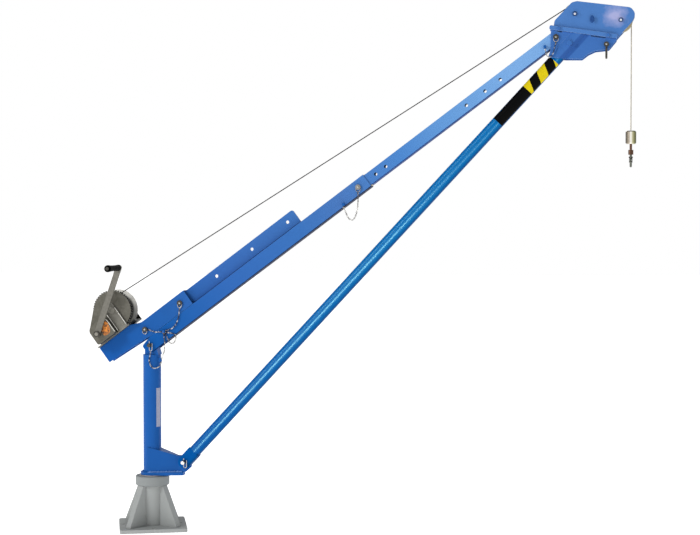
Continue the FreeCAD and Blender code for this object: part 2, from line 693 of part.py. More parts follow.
# Sheave box: two cheeks with a rolled lip, stayed and bolted
UPPER_CHEEK_SHARES = (
    (-0.319, 0, 0), (-0.319, 0.161, 0.04), (-0.082, 0.503, 0.1), (0.0, 0.534, 0.1), (0.903, 0.548, 0.1),
    (1.0, 0.455, 0.1), (0.957, 0.304, 0.08), (0.756, 0, 0),
)
upper = [(x * s.box_front, lip_low + z * s.box_front, r * s.box_front) for x, z, r in UPPER_CHEEK_SHARES]
axle_hole = "dims.axle_diameter + 2 * dims.running_gap"
upper_holes = [(0, 0, axle_hole), (s.sheave_spacing, 0, axle_hole)]
lip_top = lip_low + s.lip_height
lip = [(-s.lip_rear, lip_low, s.lip_height / 3), (s.lip_front, lip_low, 0),
       (s.lip_front, lip_top, s.lip_height / 3),
       (-s.lip_rear, lip_top, s.lip_height / 3)]
LIP_BOLT_SHARES = (-0.3, 0.8)
lip_bolts = [(s.lip_front * share, (lip_low + lip_top) / 2) for share in LIP_BOLT_SHARES]
lip_drill = "dims.lip_bolt + 2 * dims.running_gap"
box_line = s.head_gap / 2 + s.box_sheet / 2
lip_width = s.box_sheet + s.lip_proud
lip_y = s.head_gap / 2 + lip_width / 2
sides = []
for side in SIDES:
    wall = plate(upper, "dims.box_sheet", moved(0, side * box_line, 0), upper_holes)
    roll = plate(lip, "dims.box_sheet + dims.lip_proud", moved(0, side * lip_y, 0))
    drills = [rod(lip_drill, "2 * dims.head_gap", Vector(x, -s.head_gap, z), Y_AXIS) for x, z in lip_bolts]
    sides.append(cut(fuse(wall, roll), *drills))
STAY_SHARE = 0.45
stay_place = Vector(s.sheave_spacing * STAY_SHARE, -s.head_gap / 2, -s.stay_diameter)
keep(placed(group(*sides, rod("dims.stay_diameter", "dims.head_gap", stay_place, Y_AXIS)), head),
     "sheave_box")


def through_bolt(place, reach, diameter, head_width, head_length):
    """A bolt across the head, with its head on the near side and its nut on the far side."""
    shank, flat = diameter / 2, head_width / 2
    tail = 2 * head_length + 2 * reach
    profile = [(0, 0), (flat, 0), (flat, head_length), (shank, head_length), (shank, tail - head_length),
               (flat, tail - head_length), (flat, tail), (0, tail)]
    return turned(profile, place - Y_AXIS * (reach + head_length), Y_AXIS)


box_half = s.head_gap / 2 + s.box_sheet
lip_half = box_half + s.lip_proud
head_bolts = [through_bolt(p, box_half, s.axle_diameter, s.axle_head, s.axle_head_length)
              for p in (rear_axle, front_axle)]
for x, z in lip_bolts:
    head_bolts.append(through_bolt(head.multVec(Vector(x, 0, z)), lip_half, s.lip_bolt, 2 * s.lip_bolt,
                                   s.lip_bolt))
head_bolts.append(through_bolt(strut_bolt, s.gutter_radius, s.strut_bolt, 2 * s.strut_bolt, s.strut_bolt))
keep(group(*head_bolts), "head_bolts")
spacer_bore = s.axle_diameter / 2 + s.running_gap
spacer_from = s.sheave_width / 2 + s.side_gap
sheave_spacers = [ring(spacer_bore, s.spacer_diameter / 2, axle + Y_AXIS * (side * spacer_from),
                       s.head_gap / 2 - spacer_from, Y_AXIS * side)
                  for axle in (rear_axle, front_axle) for side in SIDES]
keep(group(*sheave_spacers), "sheave_spacers")
rope = s.rope_diameter / 2
groove = s.sheave_pitch_radius - rope - s.groove_gap
sheave_half = s.sheave_width / 2
GROOVE_SHARES = ((0.0, 0.25), (0.12, 0.45), (1.0, 0.8))
depth = s.sheave_radius - groove
flank = [(groove + depth * up, sheave_half * share) for up, share in GROOVE_SHARES]
sheave = [(spacer_bore, -sheave_half), (s.sheave_radius, -sheave_half)]
sheave += [(r, -y) for r, y in reversed(flank)] + flank
sheave += [(s.sheave_radius, sheave_half), (spacer_bore, sheave_half)]
keep(turned(sheave, rear_axle, Y_AXIS), "rear_sheave")
keep(turned(sheave, front_axle, Y_AXIS), "front_sheave")

# Shackle on the near cheek
hang = head.multVec(Vector(s.shackle_back, -cheek_line, -s.shackle_down))
eye_half = s.shackle_width / 2
leg = Y_AXIS * eye_half
drop = Z_AXIS * (s.shackle_drop - eye_half)
wire = [Part.LineSegment(hang - leg, hang - leg - drop),
        Part.Arc(hang - leg - drop, hang - Z_AXIS * s.shackle_drop, hang + leg - drop),
        Part.LineSegment(hang + leg - drop, hang + leg)]
eye_thick = s.shackle_wire + s.overrun
eyes = [rod("2 * dims.shackle_pin", "dims.shackle_wire + dims.overrun",
            hang + Y_AXIS * (side * eye_half - eye_thick / 2), Y_AXIS)
        for side in SIDES]
pin_length = s.shackle_width + 3 * s.shackle_wire
pin_bore = rod("dims.shackle_pin + 2 * dims.running_gap", f"{2 * pin_length}", hang - Y_AXIS * pin_length,
               Y_AXIS)
keep(cut(fuse(shaped(swept(wire, s.shackle_wire)), *eyes), pin_bore), "shackle_bow")
shackle_head = s.shackle_pin / 2
outer_face = eye_half + eye_thick / 2 + s.side_gap
keep(turned([(0, 0), (s.shackle_pin, 0), (s.shackle_pin, shackle_head), (shackle_head, shackle_head),
             (shackle_head, shackle_head + 2 * outer_face), (0, shackle_head + 2 * outer_face)],
            hang - Y_AXIS * (outer_face + shackle_head), Y_AXIS), "shackle_pin")

# Rope: a tight run from the drum, over both sheaves, and the fall
drum_world = boom.multVec(drum)


def upper_tangent(first, second, first_radius, second_radius):
    """The normal of the tangent line that passes over both circles."""
    way = second - first
    lean = (first_radius - second_radius) / way.Length
    way.normalize()
    return way * lean + Vector(-way.z, 0, way.x) * math.sqrt(1 - lean ** 2)


lead = upper_tangent(drum_world, rear_axle, s.wound_radius, s.sheave_pitch_radius)
cross = upper_tangent(rear_axle, front_axle, s.sheave_pitch_radius, s.sheave_pitch_radius)
run_start = drum_world + lead * s.wound_radius
run_end = rear_axle + lead * s.sheave_pitch_radius
run_way = (run_end - run_start).normalize()
risen = s.wound_radius + s.rope_diameter + s.groove_gap
run_from = run_start + run_way * math.sqrt(risen ** 2 - s.wound_radius ** 2)
run_length = run_from.distanceToPoint(run_end)
keep(rod("dims.rope_diameter", f"{run_length}", run_from, run_way), "rope_run")
pitch = s.sheave_pitch_radius
rear_top = rear_axle + cross * pitch
front_top = front_axle + cross * pitch
fall_top = front_axle + X_AXIS * pitch
over = [Part.Arc(run_end, rear_axle + (lead + cross).normalize() * pitch, rear_top),
        Part.LineSegment(rear_top, front_top),
        Part.Arc(front_top, front_axle + (cross + X_AXIS).normalize() * pitch, fall_top)]
keep(shaped(swept(over, s.rope_diameter)), "rope_over_head")
keep(rod("dims.rope_diameter", "dims.fall_length", fall_top, -Z_AXIS), "rope_fall")

# Weight and swivel hook
weight_top = fall_top - Z_AXIS * s.fall_length
wr, wl, we = s.weight_diameter / 2, s.weight_length, s.weight_edge
stem = s.stem_diameter / 2
stem_bore = stem + s.running_gap
cell_low, cell_top, cell = wl - 2 * s.stem_diameter, wl - 3 * s.stem_diameter, 2 * stem
keep(turned([(0, 0), (wr - we, 0), (wr, we), (wr, wl - we), (wr - we, wl), (stem_bore, wl),
             (stem_bore, cell_low),
             (cell, cell_low), (cell, cell_top), (0, cell_top)], weight_top, -Z_AXIS), "hook_weight")
nut_low = wl + s.stem_length
button = cell - s.side_gap
nut = s.nut_diameter / 2
swivel = turned([(0, cell_top + s.side_gap), (button, cell_top + s.side_gap), (button, cell_low - s.side_gap),
             (stem, cell_low - s.side_gap), (stem, nut_low), (nut, nut_low), (nut, nut_low + s.nut_length),
             (0, nut_low + s.nut_length)], weight_top, -Z_AXIS)
hook_top = weight_top - Z_AXIS * (nut_low + s.nut_length)
sweep = math.acos(s.hook_bend / (s.hook_bend + s.hook_bowl))
neck = hook_top - Z_AXIS * s.hook_neck
bend_centre = neck - X_AXIS * s.hook_bend


def toward(centre, radius, angle):
    return centre + (X_AXIS * math.cos(angle) + Z_AXIS * math.sin(angle)) * radius


bowl = neck - Z_AXIS * (math.sin(sweep) * (s.hook_bend + s.hook_bowl))
turn_over = toward(bend_centre, s.hook_bend, -sweep)
open_angle = math.radians(s.hook_tip_angle) + 2 * math.pi
start_angle = math.pi - sweep
path = [Part.LineSegment(hook_top, neck),
        Part.Arc(neck, toward(bend_centre, s.hook_bend, -sweep / 2), turn_over),
        Part.Arc(turn_over, toward(bowl, s.hook_bowl, (start_angle + open_angle) / 2),
                 toward(bowl, s.hook_bowl, open_angle))]
latch_angle = math.asin(s.latch_down / s.hook_bend)
latch_hinge = toward(bend_centre, s.hook_bend, -latch_angle)
latch_out = s.hook_wire / 2 + s.side_gap
latch_bore = rod("dims.latch_pin + 2 * dims.running_gap", "4 * dims.hook_wire",
                 latch_hinge - Y_AXIS * (2 * s.hook_wire), Y_AXIS)
hook_turn = Placement(Vector(), Rotation(Z_AXIS, -s.hook_turn), hook_top)
keep(placed(cut(shaped(swept(path, s.hook_wire)), latch_bore), hook_turn), "hook")
latch_width = 2 * (latch_out + s.latch_sheet + s.latch_pin / 2)
latch_pin = rod("dims.latch_pin", f"{latch_width}", latch_hinge - Y_AXIS * (latch_width / 2), Y_AXIS)
keep(placed(group(swivel, latch_pin), hook_turn), "hook_stem")
BAR_ANGLE_SHARE = 0.07
bar_radius = s.hook_bowl - s.hook_wire / 2 - s.latch_bar / 2 - s.side_gap
bar_place = toward(bowl, bar_radius, 2 * math.pi * BAR_ANGLE_SHARE)
latch_length = latch_hinge.distanceToPoint(bar_place)
LATCH_ROUND_SHARE = 0.8
latch_round = s.latch_bar * LATCH_ROUND_SHARE
latch_tip = latch_length + latch_round
latch_form = [(-latch_round, -latch_round, latch_round), (latch_tip, -latch_round, latch_round),
              (latch_tip, latch_round, latch_round), (-latch_round, latch_round, latch_round)]
latch_frame = Placement(latch_hinge, Rotation(X_AXIS, bar_place - latch_hinge))
latch_y = latch_out + s.latch_sheet / 2
leaves = [plate(latch_form, "dims.latch_sheet", Placement(Vector(0, side * latch_y, 0), Rotation()),
                [(0, 0, "dims.latch_pin + 2 * dims.running_gap")]) for side in SIDES]
latch_bar = rod("dims.latch_bar", f"{2 * latch_y}", Vector(latch_length, -latch_y, 0), Y_AXIS)
keep(placed(fuse(*leaves, latch_bar), hook_turn * latch_frame), "hook_latch")

# Winch frame: a bolted base, a far side plate and a near strap
barrel_from = s.drum_shift - s.drum_width / 2
barrel_to = s.drum_shift + s.drum_width / 2
gear_from = barrel_from - s.flange_sheet - s.gear_face
hub_from = gear_from - s.hub_stick
hub_to = barrel_to + s.flange_sheet + s.far_hub
strap_in = hub_from - s.side_gap
far_in = hub_to + s.side_gap
strap_out = strap_in - s.frame_sheet
far_out = far_in + s.frame_sheet
floor = s.seat_top + s.frame_base
base_form = [(-s.frame_rear, strap_out, 0), (s.frame_front, strap_out, 0), (s.frame_front, far_out, 0),
             (-s.frame_rear, far_out, 0)]
base = plate(base_form, "dims.frame_base", moved(0, 0, s.seat_top + s.frame_base / 2),
             [(p.x, p.y, drill) for p in bolts], "XY_Plane")
top = s.drum_height + s.strap_top
axle_drill = "dims.axle_bolt + 2 * dims.running_gap"
shaft_drill = "dims.shaft_diameter + 2 * dims.running_gap"
near_form = [(-s.strap_rear, floor, 0), (-s.strap_front, floor, 0), (-s.strap_front, top, s.strap_front / 2),
             (-s.strap_rear, top, s.strap_front / 2)]
strap = plate(near_form, "dims.frame_sheet", moved(0, strap_in - s.frame_sheet / 2, 0),
              [(s.drum_place, s.drum_height, axle_drill)])
folds = []
for u in (-s.strap_rear, -s.strap_front - s.frame_sheet):
    fold = block("dims.frame_sheet", "2 * dims.frame_sheet", "dims.drum_height - dims.seat_top", u, floor)
    fold.Placement.Base.y = strap_out - 2 * s.frame_sheet
    folds.append(fold)
far_form = [(-s.frame_rear, floor, 0), (s.frame_front, floor, 0), (s.frame_front, pinion.z, s.strap_front),
            (-s.strap_front + s.frame_front, top, s.strap_front), (-s.strap_rear, top, s.strap_front),
            (-s.cover_rear, s.cover_top - s.frame_front, s.strap_front),
            (-s.frame_rear, pinion.z, s.strap_front)]
far_side = plate(far_form, "dims.frame_sheet", moved(0, far_in + s.frame_sheet / 2, 0),
                 [(drum.x, drum.z, axle_drill), (pinion.x, pinion.z, shaft_drill)])
keep(placed(fuse(base, strap, far_side, *folds), boom), "winch_frame")
heads = []
for p in bolts:
    seat_bolt_top = p + Z_AXIS * (s.frame_base + s.seat_bolt_head_length)
    shank = s.seat_bolt / 2
    flat = s.seat_bolt_head / 2
    first = s.seat_bolt_head_length
    second = first + s.frame_base + s.seat_wall
    heads.append(turned([(0, 0), (flat, 0), (flat, first), (shank, first), (shank, second), (flat, second),
                         (flat, second + first), (0, second + first)], seat_bolt_top, -Z_AXIS))

# Gear guard: a disc over the gear with a tail over the pinion, and the brake cover on it
rim = s.gear_module * (s.gear_teeth + 2) / 2 - s.guard_show
corner = Vector(-s.cover_rear, 0, s.cover_top)
arm = corner - drum
lean = math.atan2(arm.z, arm.x) - math.acos(rim / arm.Length) + 2 * math.pi
touch = toward(drum, rim, lean)
guard = [(-s.cover_rear, floor, 0), (drum.x, floor, 0), (drum.x, drum.z, 0), (touch.x, touch.z, 0),
         (corner.x, corner.z, s.guard_margin)]
guard_y = strap_in + s.guard_sheet / 2
guard_plate = plate(guard, "dims.guard_sheet", moved(0, guard_y, 0), [(pinion.x, pinion.z, shaft_drill)])
guard_disc = rod(f"{2 * rim}", "dims.guard_sheet", Vector(drum.x, strap_in, drum.z), Y_AXIS)
hub_way = rod("dims.gear_hub + 4 * dims.side_gap", "3 * dims.guard_sheet",
              Vector(drum.x, strap_in - s.guard_sheet, drum.z), Y_AXIS)
reach = "2 * dims.drum_flange"
below = block(reach, reach, reach, -s.drum_flange, floor - 2 * s.drum_flange)
keep(placed(cut(fuse(guard_plate, guard_disc), hub_way, below), boom), "gear_guard")
low_edge = floor + s.side_gap
cover = [(-s.cover_rear, low_edge, s.cover_corner / 3), (-s.cover_front, low_edge, s.cover_corner / 3),
         (-s.cover_front, s.cover_top, s.cover_corner), (-s.cover_rear, s.cover_top, s.cover_corner)]
w = s.cover_wall
inside = [(-s.cover_rear + w, low_edge + w, s.cover_corner / 4),
          (-s.cover_front - w, low_edge + w, s.cover_corner / 4),
          (-s.cover_front - w, s.cover_top - w, s.cover_corner - w),
          (-s.cover_rear + w, s.cover_top - w, s.cover_corner - w)]
cover_y = strap_in - s.cover_depth / 2
shell = cut(plate(cover, "dims.cover_depth", moved(0, cover_y, 0),
                  [(pinion.x, pinion.z, "dims.shaft_diameter + 2 * dims.side_gap")]),
            plate(inside, "dims.cover_depth", moved(0, cover_y + w, 0)))
keep(placed(shell, boom), "brake_cover")

# Drum on its bolt, with its gear
axle_start = strap_out - s.seat_bolt_head_length
axle_length = far_out - axle_start
axle_head = s.seat_bolt_head_length
AXLE_HEAD_SHARE = 0.8
axle_rim = s.axle_bolt * AXLE_HEAD_SHARE
axle_shank = s.axle_bolt / 2
axle_form = [(0, 0), (axle_rim, 0), (axle_rim, axle_head), (axle_shank, axle_head), (axle_shank, axle_length),
             (axle_rim, axle_length), (axle_rim, axle_length + axle_head), (0, axle_length + axle_head)]
keep(placed(group(*heads, turned(axle_form, drum + Y_AXIS * axle_start, Y_AXIS)), boom), "winch_bolts")
bore_r = s.drum_bush / 2
hub_r = s.gear_hub / 2
near_rim = s.wound_radius + s.rope_diameter
barrel = s.drum_barrel / 2
far_rim = s.drum_flange / 2
drum_form = [(bore_r, hub_from), (hub_r, hub_from), (hub_r, barrel_from - s.flange_sheet),
             (near_rim, barrel_from - s.flange_sheet),
             (near_rim, barrel_from), (barrel, barrel_from), (barrel, barrel_to), (far_rim, barrel_to),
             (far_rim, barrel_to + s.flange_sheet), (hub_r, barrel_to + s.flange_sheet), (hub_r, hub_to),
             (bore_r, hub_to)]
keep(placed(turned(drum_form, Vector(), Y_AXIS), boom * Placement(drum, Rotation(Z_AXIS, Y_AXIS))),
     "rope_drum")
bush_in = s.axle_bolt / 2 + s.running_gap
bush_places = ((hub_from, 1), (hub_to, -1))
keep(placed(group(*(ring(bush_in, bore_r, drum + Y_AXIS * y, s.drum_bush_length, Y_AXIS * way) for y,
                    way in bush_places)), boom),
     "drum_bushes")
core_r = s.wound_radius - s.rope_diameter / 2 - s.groove_gap
core_form = ring(barrel + s.running_gap, core_r, drum + Y_AXIS * (barrel_from + s.groove_gap),
                 s.drum_width - 2 * s.groove_gap, Y_AXIS)
keep(placed(group(core_form), boom), "rope_core")
ADDENDUM_SHARE = 0.8
DEDENDUM_SHARE = 1.05
PRESSURE_ANGLE = math.radians(20)
FLANK_SHARES = (0.0, 0.25, 0.5, 0.75, 1.0)


def gear(centre, teeth, first_angle, bore):
    """A spur gear with true involute flanks; a tooth's middle lies at first_angle."""
    pitch_radius = s.gear_module * teeth / 2
    base_radius = pitch_radius * math.cos(PRESSURE_ANGLE)
    tip_radius = pitch_radius + s.gear_module * ADDENDUM_SHARE
    root_radius = pitch_radius - s.gear_module * DEDENDUM_SHARE
    start_radius = max(base_radius, root_radius)
    involute = math.tan(PRESSURE_ANGLE) - PRESSURE_ANGLE
    middle = math.pi / (2 * teeth) - s.gear_backlash / (4 * pitch_radius) + involute
    flank = []
    for share in FLANK_SHARES:
        radius = start_radius + (tip_radius - start_radius) * share
        roll = math.acos(min(1, base_radius / radius))
        flank.append((radius, middle - math.tan(roll) + roll))
    if root_radius < base_radius:
        flank.insert(0, (root_radius, flank[0][1]))
    points = []
    for k in range(int(teeth)):
        angle = first_angle + 2 * math.pi * k / teeth
        points += [toward(centre, radius, angle - half) for radius, half in flank]
        points += [toward(centre, radius, angle + half) for radius, half in reversed(flank)]
    blank = Part.Face(Part.makePolygon(points + points[:1])).extrude(Y_AXIS * s.gear_face)
    return cut(shaped(blank), rod(bore, "3 * dims.gear_face", centre - Y_AXIS * s.gear_face, Y_AXIS))


gear_plane = Y_AXIS * gear_from
keep(placed(gear(drum + gear_plane, s.gear_teeth, mesh + math.pi, "dims.gear_hub + 2 * dims.running_gap"),
            boom), "drum_gear")
keep(placed(gear(pinion + gear_plane, s.pinion_teeth, mesh + math.pi / s.pinion_teeth, shaft_drill), boom),
     "pinion")

# Rope's outer layer on the drum: a helix of biarcs with short straight ends


def on_helix(angle):
    """Place and direction on the winding, which ends at angle zero."""
    place = drum_world + (lead * math.cos(angle) + run_way * math.sin(angle)) * s.wound_radius
    climb = s.wound_pitch / (2 * math.pi)
    way = (run_way * math.cos(angle) - lead * math.sin(angle)) * s.wound_radius + Y_AXIS * climb
    return place + Y_AXIS * (climb * angle), way.normalize()


def tangent_arc(start, way, end):
    """The arc that leaves start along way and reaches end."""
    chord = end - start
    across = (way - chord * (way.dot(chord) / chord.dot(chord))).normalize()
    bulge = chord.Length / 2 * math.tan(way.getAngle(chord) / 2)
    return Part.Arc(start, start + chord * 0.5 + across * bulge, end)


steps = int(4 * s.wound_turns)
stations = [on_helix(math.pi / 2 * (k - steps)) for k in range(steps + 1)]
place, way = stations[0]
winding = [Part.LineSegment(place - way * s.rope_diameter, place)]
for (place, way), (after, after_way) in zip(stations, stations[1:]):
    chord, both = after - place, way + after_way
    spread = 2 * (1 - way.dot(after_way))
    along = chord.dot(both)
    reach = (math.sqrt(along ** 2 + spread * chord.dot(chord)) - along) / spread
    joint = (place + way * reach + after - after_way * reach) * 0.5
    winding.append(tangent_arc(place, way, joint))
    back = tangent_arc(after, after_way * -1, joint)
    winding.append(Part.Arc(joint, back.value((back.FirstParameter + back.LastParameter) / 2), after))
place, way = stations[-1]
winding.append(Part.LineSegment(place, place + way * s.rope_diameter))
keep(shaped(swept(winding, s.rope_diameter)), "rope_winding")
fine = [on_helix(math.pi / 18 * k)[0] for k in range(-36 * int(s.wound_turns), 1)]
near = min(p.distanceToPoint(q) for k, p in enumerate(fine) for q in fine[k + 18:])
print(f"rope winding: least gap between turns {near - s.rope_diameter:.2f} mm")

# Crank shaft with its pinion, brake discs and ratchet wheel
cover_out = strap_in - s.cover_depth
arm_in = cover_out - s.arm_gap
arm_out = arm_in - s.arm_thickness
shaft_end = arm_out - s.hub_nut_length
shaft_r = s.shaft_diameter / 2
shaft_from = far_out + s.side_gap + s.seat_bolt_head_length
stop = s.seat_bolt_head_length
shaft_span = shaft_from - shaft_end
shaft_form = [(0, 0), (s.shaft_diameter * 2 / 3, 0), (s.shaft_diameter * 2 / 3, stop), (shaft_r, stop),
              (shaft_r, shaft_span), (0, shaft_span)]
disc_bore = shaft_r + s.running_gap
first_disc = strap_in - s.frame_base / 3
wheel_from = first_disc - s.disc_thickness - s.side_gap
second_disc = wheel_from - s.ratchet_thickness - s.side_gap
discs = [ring(disc_bore, s.disc_diameter / 2, pinion + Y_AXIS * y, s.disc_thickness, -Y_AXIS)
         for y in (first_disc, second_disc)]
keep(placed(group(turned(shaft_form, pinion + Y_AXIS * shaft_from, -Y_AXIS), *discs), boom), "pinion_shaft")
wheel_r = s.ratchet_diameter / 2
saw = []
for k in range(int(s.ratchet_teeth)):
    angle = 2 * math.pi * k / s.ratchet_teeth
    saw += [(wheel_r * math.cos(angle), wheel_r * math.sin(angle), 0)]
    saw += [((wheel_r - s.ratchet_depth) * math.cos(angle), (wheel_r - s.ratchet_depth) * math.sin(angle), 0)]
wheel_y = wheel_from - s.ratchet_thickness / 2
wheel = plate(saw[::-1], "dims.ratchet_thickness", Placement(pinion + Y_AXIS * wheel_y, Rotation()),
              [(0, 0, "dims.shaft_diameter + 2 * dims.side_gap")])
PAWL_TURN_SHARE = 0.11
TIP_TURN_SHARE = 0.28
pawl_hinge = toward(pinion, s.pawl_offset, 2 * math.pi * PAWL_TURN_SHARE)
pawl_tip = toward(pinion, wheel_r + s.pawl_width / 2 + 2 * s.side_gap, 2 * math.pi * TIP_TURN_SHARE)
pawl_length = pawl_hinge.distanceToPoint(pawl_tip)
pw = s.pawl_width / 2
lever = plate([(0, -pw, 0), (pawl_length, -pw, pw / 2), (pawl_length, pw, pw / 2), (0, pw, 0)],
              "dims.ratchet_thickness", Placement())
boss = rod("2 * dims.pawl_width", "dims.ratchet_thickness", -Y_AXIS * (s.ratchet_thickness / 2), Y_AXIS)
pivot_hole = rod("dims.pawl_pin + 2 * dims.running_gap", "4 * dims.ratchet_thickness",
                 -Y_AXIS * (2 * s.ratchet_thickness), Y_AXIS)
pawl_frame = Placement(pawl_hinge + Y_AXIS * wheel_y, Rotation(X_AXIS, pawl_tip - pawl_hinge))
keep(placed(cut(fuse(lever, boss), pivot_hole), boom * pawl_frame), "pawl")
pawl_post = strap_in - wheel_y + s.ratchet_thickness
pawl_pin = rod("dims.pawl_pin", f"{pawl_post}", pawl_hinge + Y_AXIS * strap_in, -Y_AXIS)
keep(placed(group(wheel, pawl_pin), boom), "ratchet_wheel")

# Crank arm, hub nut, spindle and grip
crank = boom * Placement(pinion, Rotation(Y_AXIS, -s.arm_angle))
a = s.arm_width / 2
ARM_ROUND_SHARE = 0.9
bar = [(-a, -a, a * ARM_ROUND_SHARE), (s.arm_length + a, -a, a * ARM_ROUND_SHARE),
       (s.arm_length + a, a, a * ARM_ROUND_SHARE),
       (-a, a, a * ARM_ROUND_SHARE)]
spindle_drill = "dims.spindle_diameter + 2 * dims.running_gap"
keep(plate(bar, "dims.arm_thickness", crank * moved(0, arm_in - s.arm_thickness / 2, 0),
           [(0, 0, shaft_drill), (s.arm_length, 0, spindle_drill)]), "crank_arm")
hexagon = [(s.hub_nut / math.sqrt(3) * math.cos(math.pi / 3 * k),
            s.hub_nut / math.sqrt(3) * math.sin(math.pi / 3 * k), 0)
           for k in range(6)]
hub_nut = plate(hexagon, "dims.hub_nut_length", moved(0, arm_out - s.hub_nut_length / 2, 0),
                [(0, 0, shaft_drill)])
spin = s.spindle_diameter / 2
cap = s.spindle_head / 2
cap_length = s.spindle_head_length
grip_from = arm_out - s.side_gap
span = cap_length + s.arm_thickness + s.grip_length + 2 * s.side_gap
grip_axis = Vector(s.arm_length, 0, 0)
spindle = [(0, 0), (cap, 0), (cap, cap_length), (spin, cap_length), (spin, span), (cap, span),
           (cap, span + cap_length),
           (0, span + cap_length)]
keep(placed(group(hub_nut, turned(spindle, grip_axis + Y_AXIS * (arm_in + cap_length), -Y_AXIS)), crank),
     "grip_spindle")
GRIP_SHARES = ((0.82, 0.0), (0.92, 0.03), (0.84, 0.2), (0.82, 0.5), (0.88, 0.75), (1.0, 0.93), (1.0, 0.97),
               (0.92, 1.0))
grip_r = s.grip_diameter / 2
grip_bore = spin + s.running_gap
grip = [(grip_bore, 0)] + [(grip_r * r, s.grip_length * d) for r, d in GRIP_SHARES]
grip.append((grip_bore, s.grip_length))
keep(placed(group(turned(grip, grip_axis + Y_AXIS * grip_from, -Y_AXIS)), crank), "crank_grip")

# Lanyard chains as plain cords, and the tabs that they end on
CHAIN_ROUTES = {
    "front_pin_chain": ((154.2, -41, 1097.7), (150.6, -41, 1070), (147, -41, 1043), (133, -41, 1010),
                        (107, -41, 991),
                        (81.2, -41, 985)),
    "loop_chain": ((81, -41, 978), (109, -41, 974), (136, -41, 968), (134.4, -41, 935), (111.3, -41, 917),
                   (93.4, -41, 939), (79, -41, 974.2)),
    "rear_pin_chain": ((-10.4, -41, 990.4), (8, -41, 983), (30, -41, 977), (50, -41, 977), (66.6, -41, 982)),
    "anchor_chain": ((71, -41, 975.3), (79, -41, 924), (75, -36, 888), (64, -30, 857), (56, -25.8, 841)),
    "pivot_chain": ((52, -20, 829), (52, -24, 812), (42, -42, 801), (18, -51, 797), (2, -51, 819),
                    (0, -51, 849),
                    (7, -47, 881.7)),
    "lock_chain": ((1046.5, -41, 1665.2), (1048.9, -41, 1613), (1035.7, -41, 1560), (1018.6, -41, 1533.5),
                   (1002.9, -41, 1560),
                   (990.7, -41, 1578), (977.5, -41, 1588), (977, -41, 1599.6)),
    "head_chain": ((1991.8, -41, 2366.6), (1987, -48, 2340), (1978, -51, 2310), (1966, -51, 2294),
                   (1952, -47, 2300),
                   (1945, -42, 2320), (1941, -41, 2338.6)),
}


def cord(points, diameter):
    """A tube along straight runs and arcs through a chosen list of points."""
    points = [Vector(*p) for p in points]
    edges = []
    radii = []
    last = points[0]
    for before, here, after in zip(points, points[1:], points[2:]):
        back, on = (before - here), (after - here)
        reach = 0.45 * min(back.Length, on.Length)
        back.normalize()
        on.normalize()
        half = back.getAngle(on) / 2
        radius = reach * math.tan(half)
        radii.append(radius)
        middle = here + (back + on).normalize() * (radius / math.sin(half) - radius)
        edges.append(Part.LineSegment(last, here + back * reach))
        edges.append(Part.Arc(here + back * reach, middle, here + on * reach))
        last = here + on * reach
    edges.append(Part.LineSegment(last, points[-1]))
    return swept(edges, diameter), min(radii), sum(edge.length() for edge in edges)


chains = {}
for label, route in CHAIN_ROUTES.items():
    solid, least, length = cord(route, s.chain_width)
    print(f"{label}: least bend radius {least:.1f} mm, length {length:.0f} mm")
    chains[label] = shaped(solid)
front_chain = chains.pop("front_pin_chain")
keep(group(front_chain, chains.pop("loop_chain")), "front_pin_chain")
for label, chain in chains.items():
    keep(chain, label)
tab = "3 * dims.eye_wire"
near_face = -h


def side_tab(place, face):
    """A small tab that stands out of a side face towards the near side."""
    item = block(tab, "dims.eye_diameter", tab, place.x - 1.5 * s.eye_wire, place.z - 1.5 * s.eye_wire)
    item.Placement.Base.y = face - s.eye_diameter
    return item


mast_tab_low = cap_low - s.eye_diameter - 2 * s.eye_wire
mast_tab = block("dims.mast_diameter / 2 + 3 * dims.eye_wire", "dims.eye_wire", "dims.eye_diameter", 0,
                 mast_tab_low)
mast_tab.Placement.Base.y = -s.eye_diameter - s.eye_wire
mast_tab = cut(mast_tab, rod("dims.mast_diameter", "dims.mast_length", Vector(0, 0, sole_top), Z_AXIS))
tabs = [(Vector(s.pivot_tab_place, 0, s.pivot_tab_rise), near_face),
        (Vector(s.boom_mouth - s.lock_tab_back, 0, -s.lock_tab_drop), near_face),
        (Vector(s.boom_reach - s.head_tab_back, 0, -s.head_tab_drop), -i)]
keep(group(mast_tab, *(side_tab(boom.multVec(place), face) for place, face in tabs)), "chain_tabs")

# Checks, then one file for each piece
doc.recompute()
for item in doc.Objects:
    if "Invalid" in item.State or "Error" in item.State:
        raise RuntimeError(f"{item.Label} ({item.Name}) does not recompute")
os.makedirs("parts", exist_ok=True)
for item in parts:
    if item.Shape.isNull() or not item.Shape.isValid():
        raise RuntimeError(f"{item.Label} has no valid shape")
    item.Shape.exportStep(os.path.join("parts", f"{item.Label}.step"))
    box = item.Shape.BoundBox
    print(f"{item.Label}: {len(item.Shape.Solids)} solids, x {box.XMin:.0f} {box.XMax:.0f}, "
          f"y {box.YMin:.0f} {box.YMax:.0f}, z {box.ZMin:.0f} {box.ZMax:.0f}")
print(len(parts), "pieces")
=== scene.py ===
import math

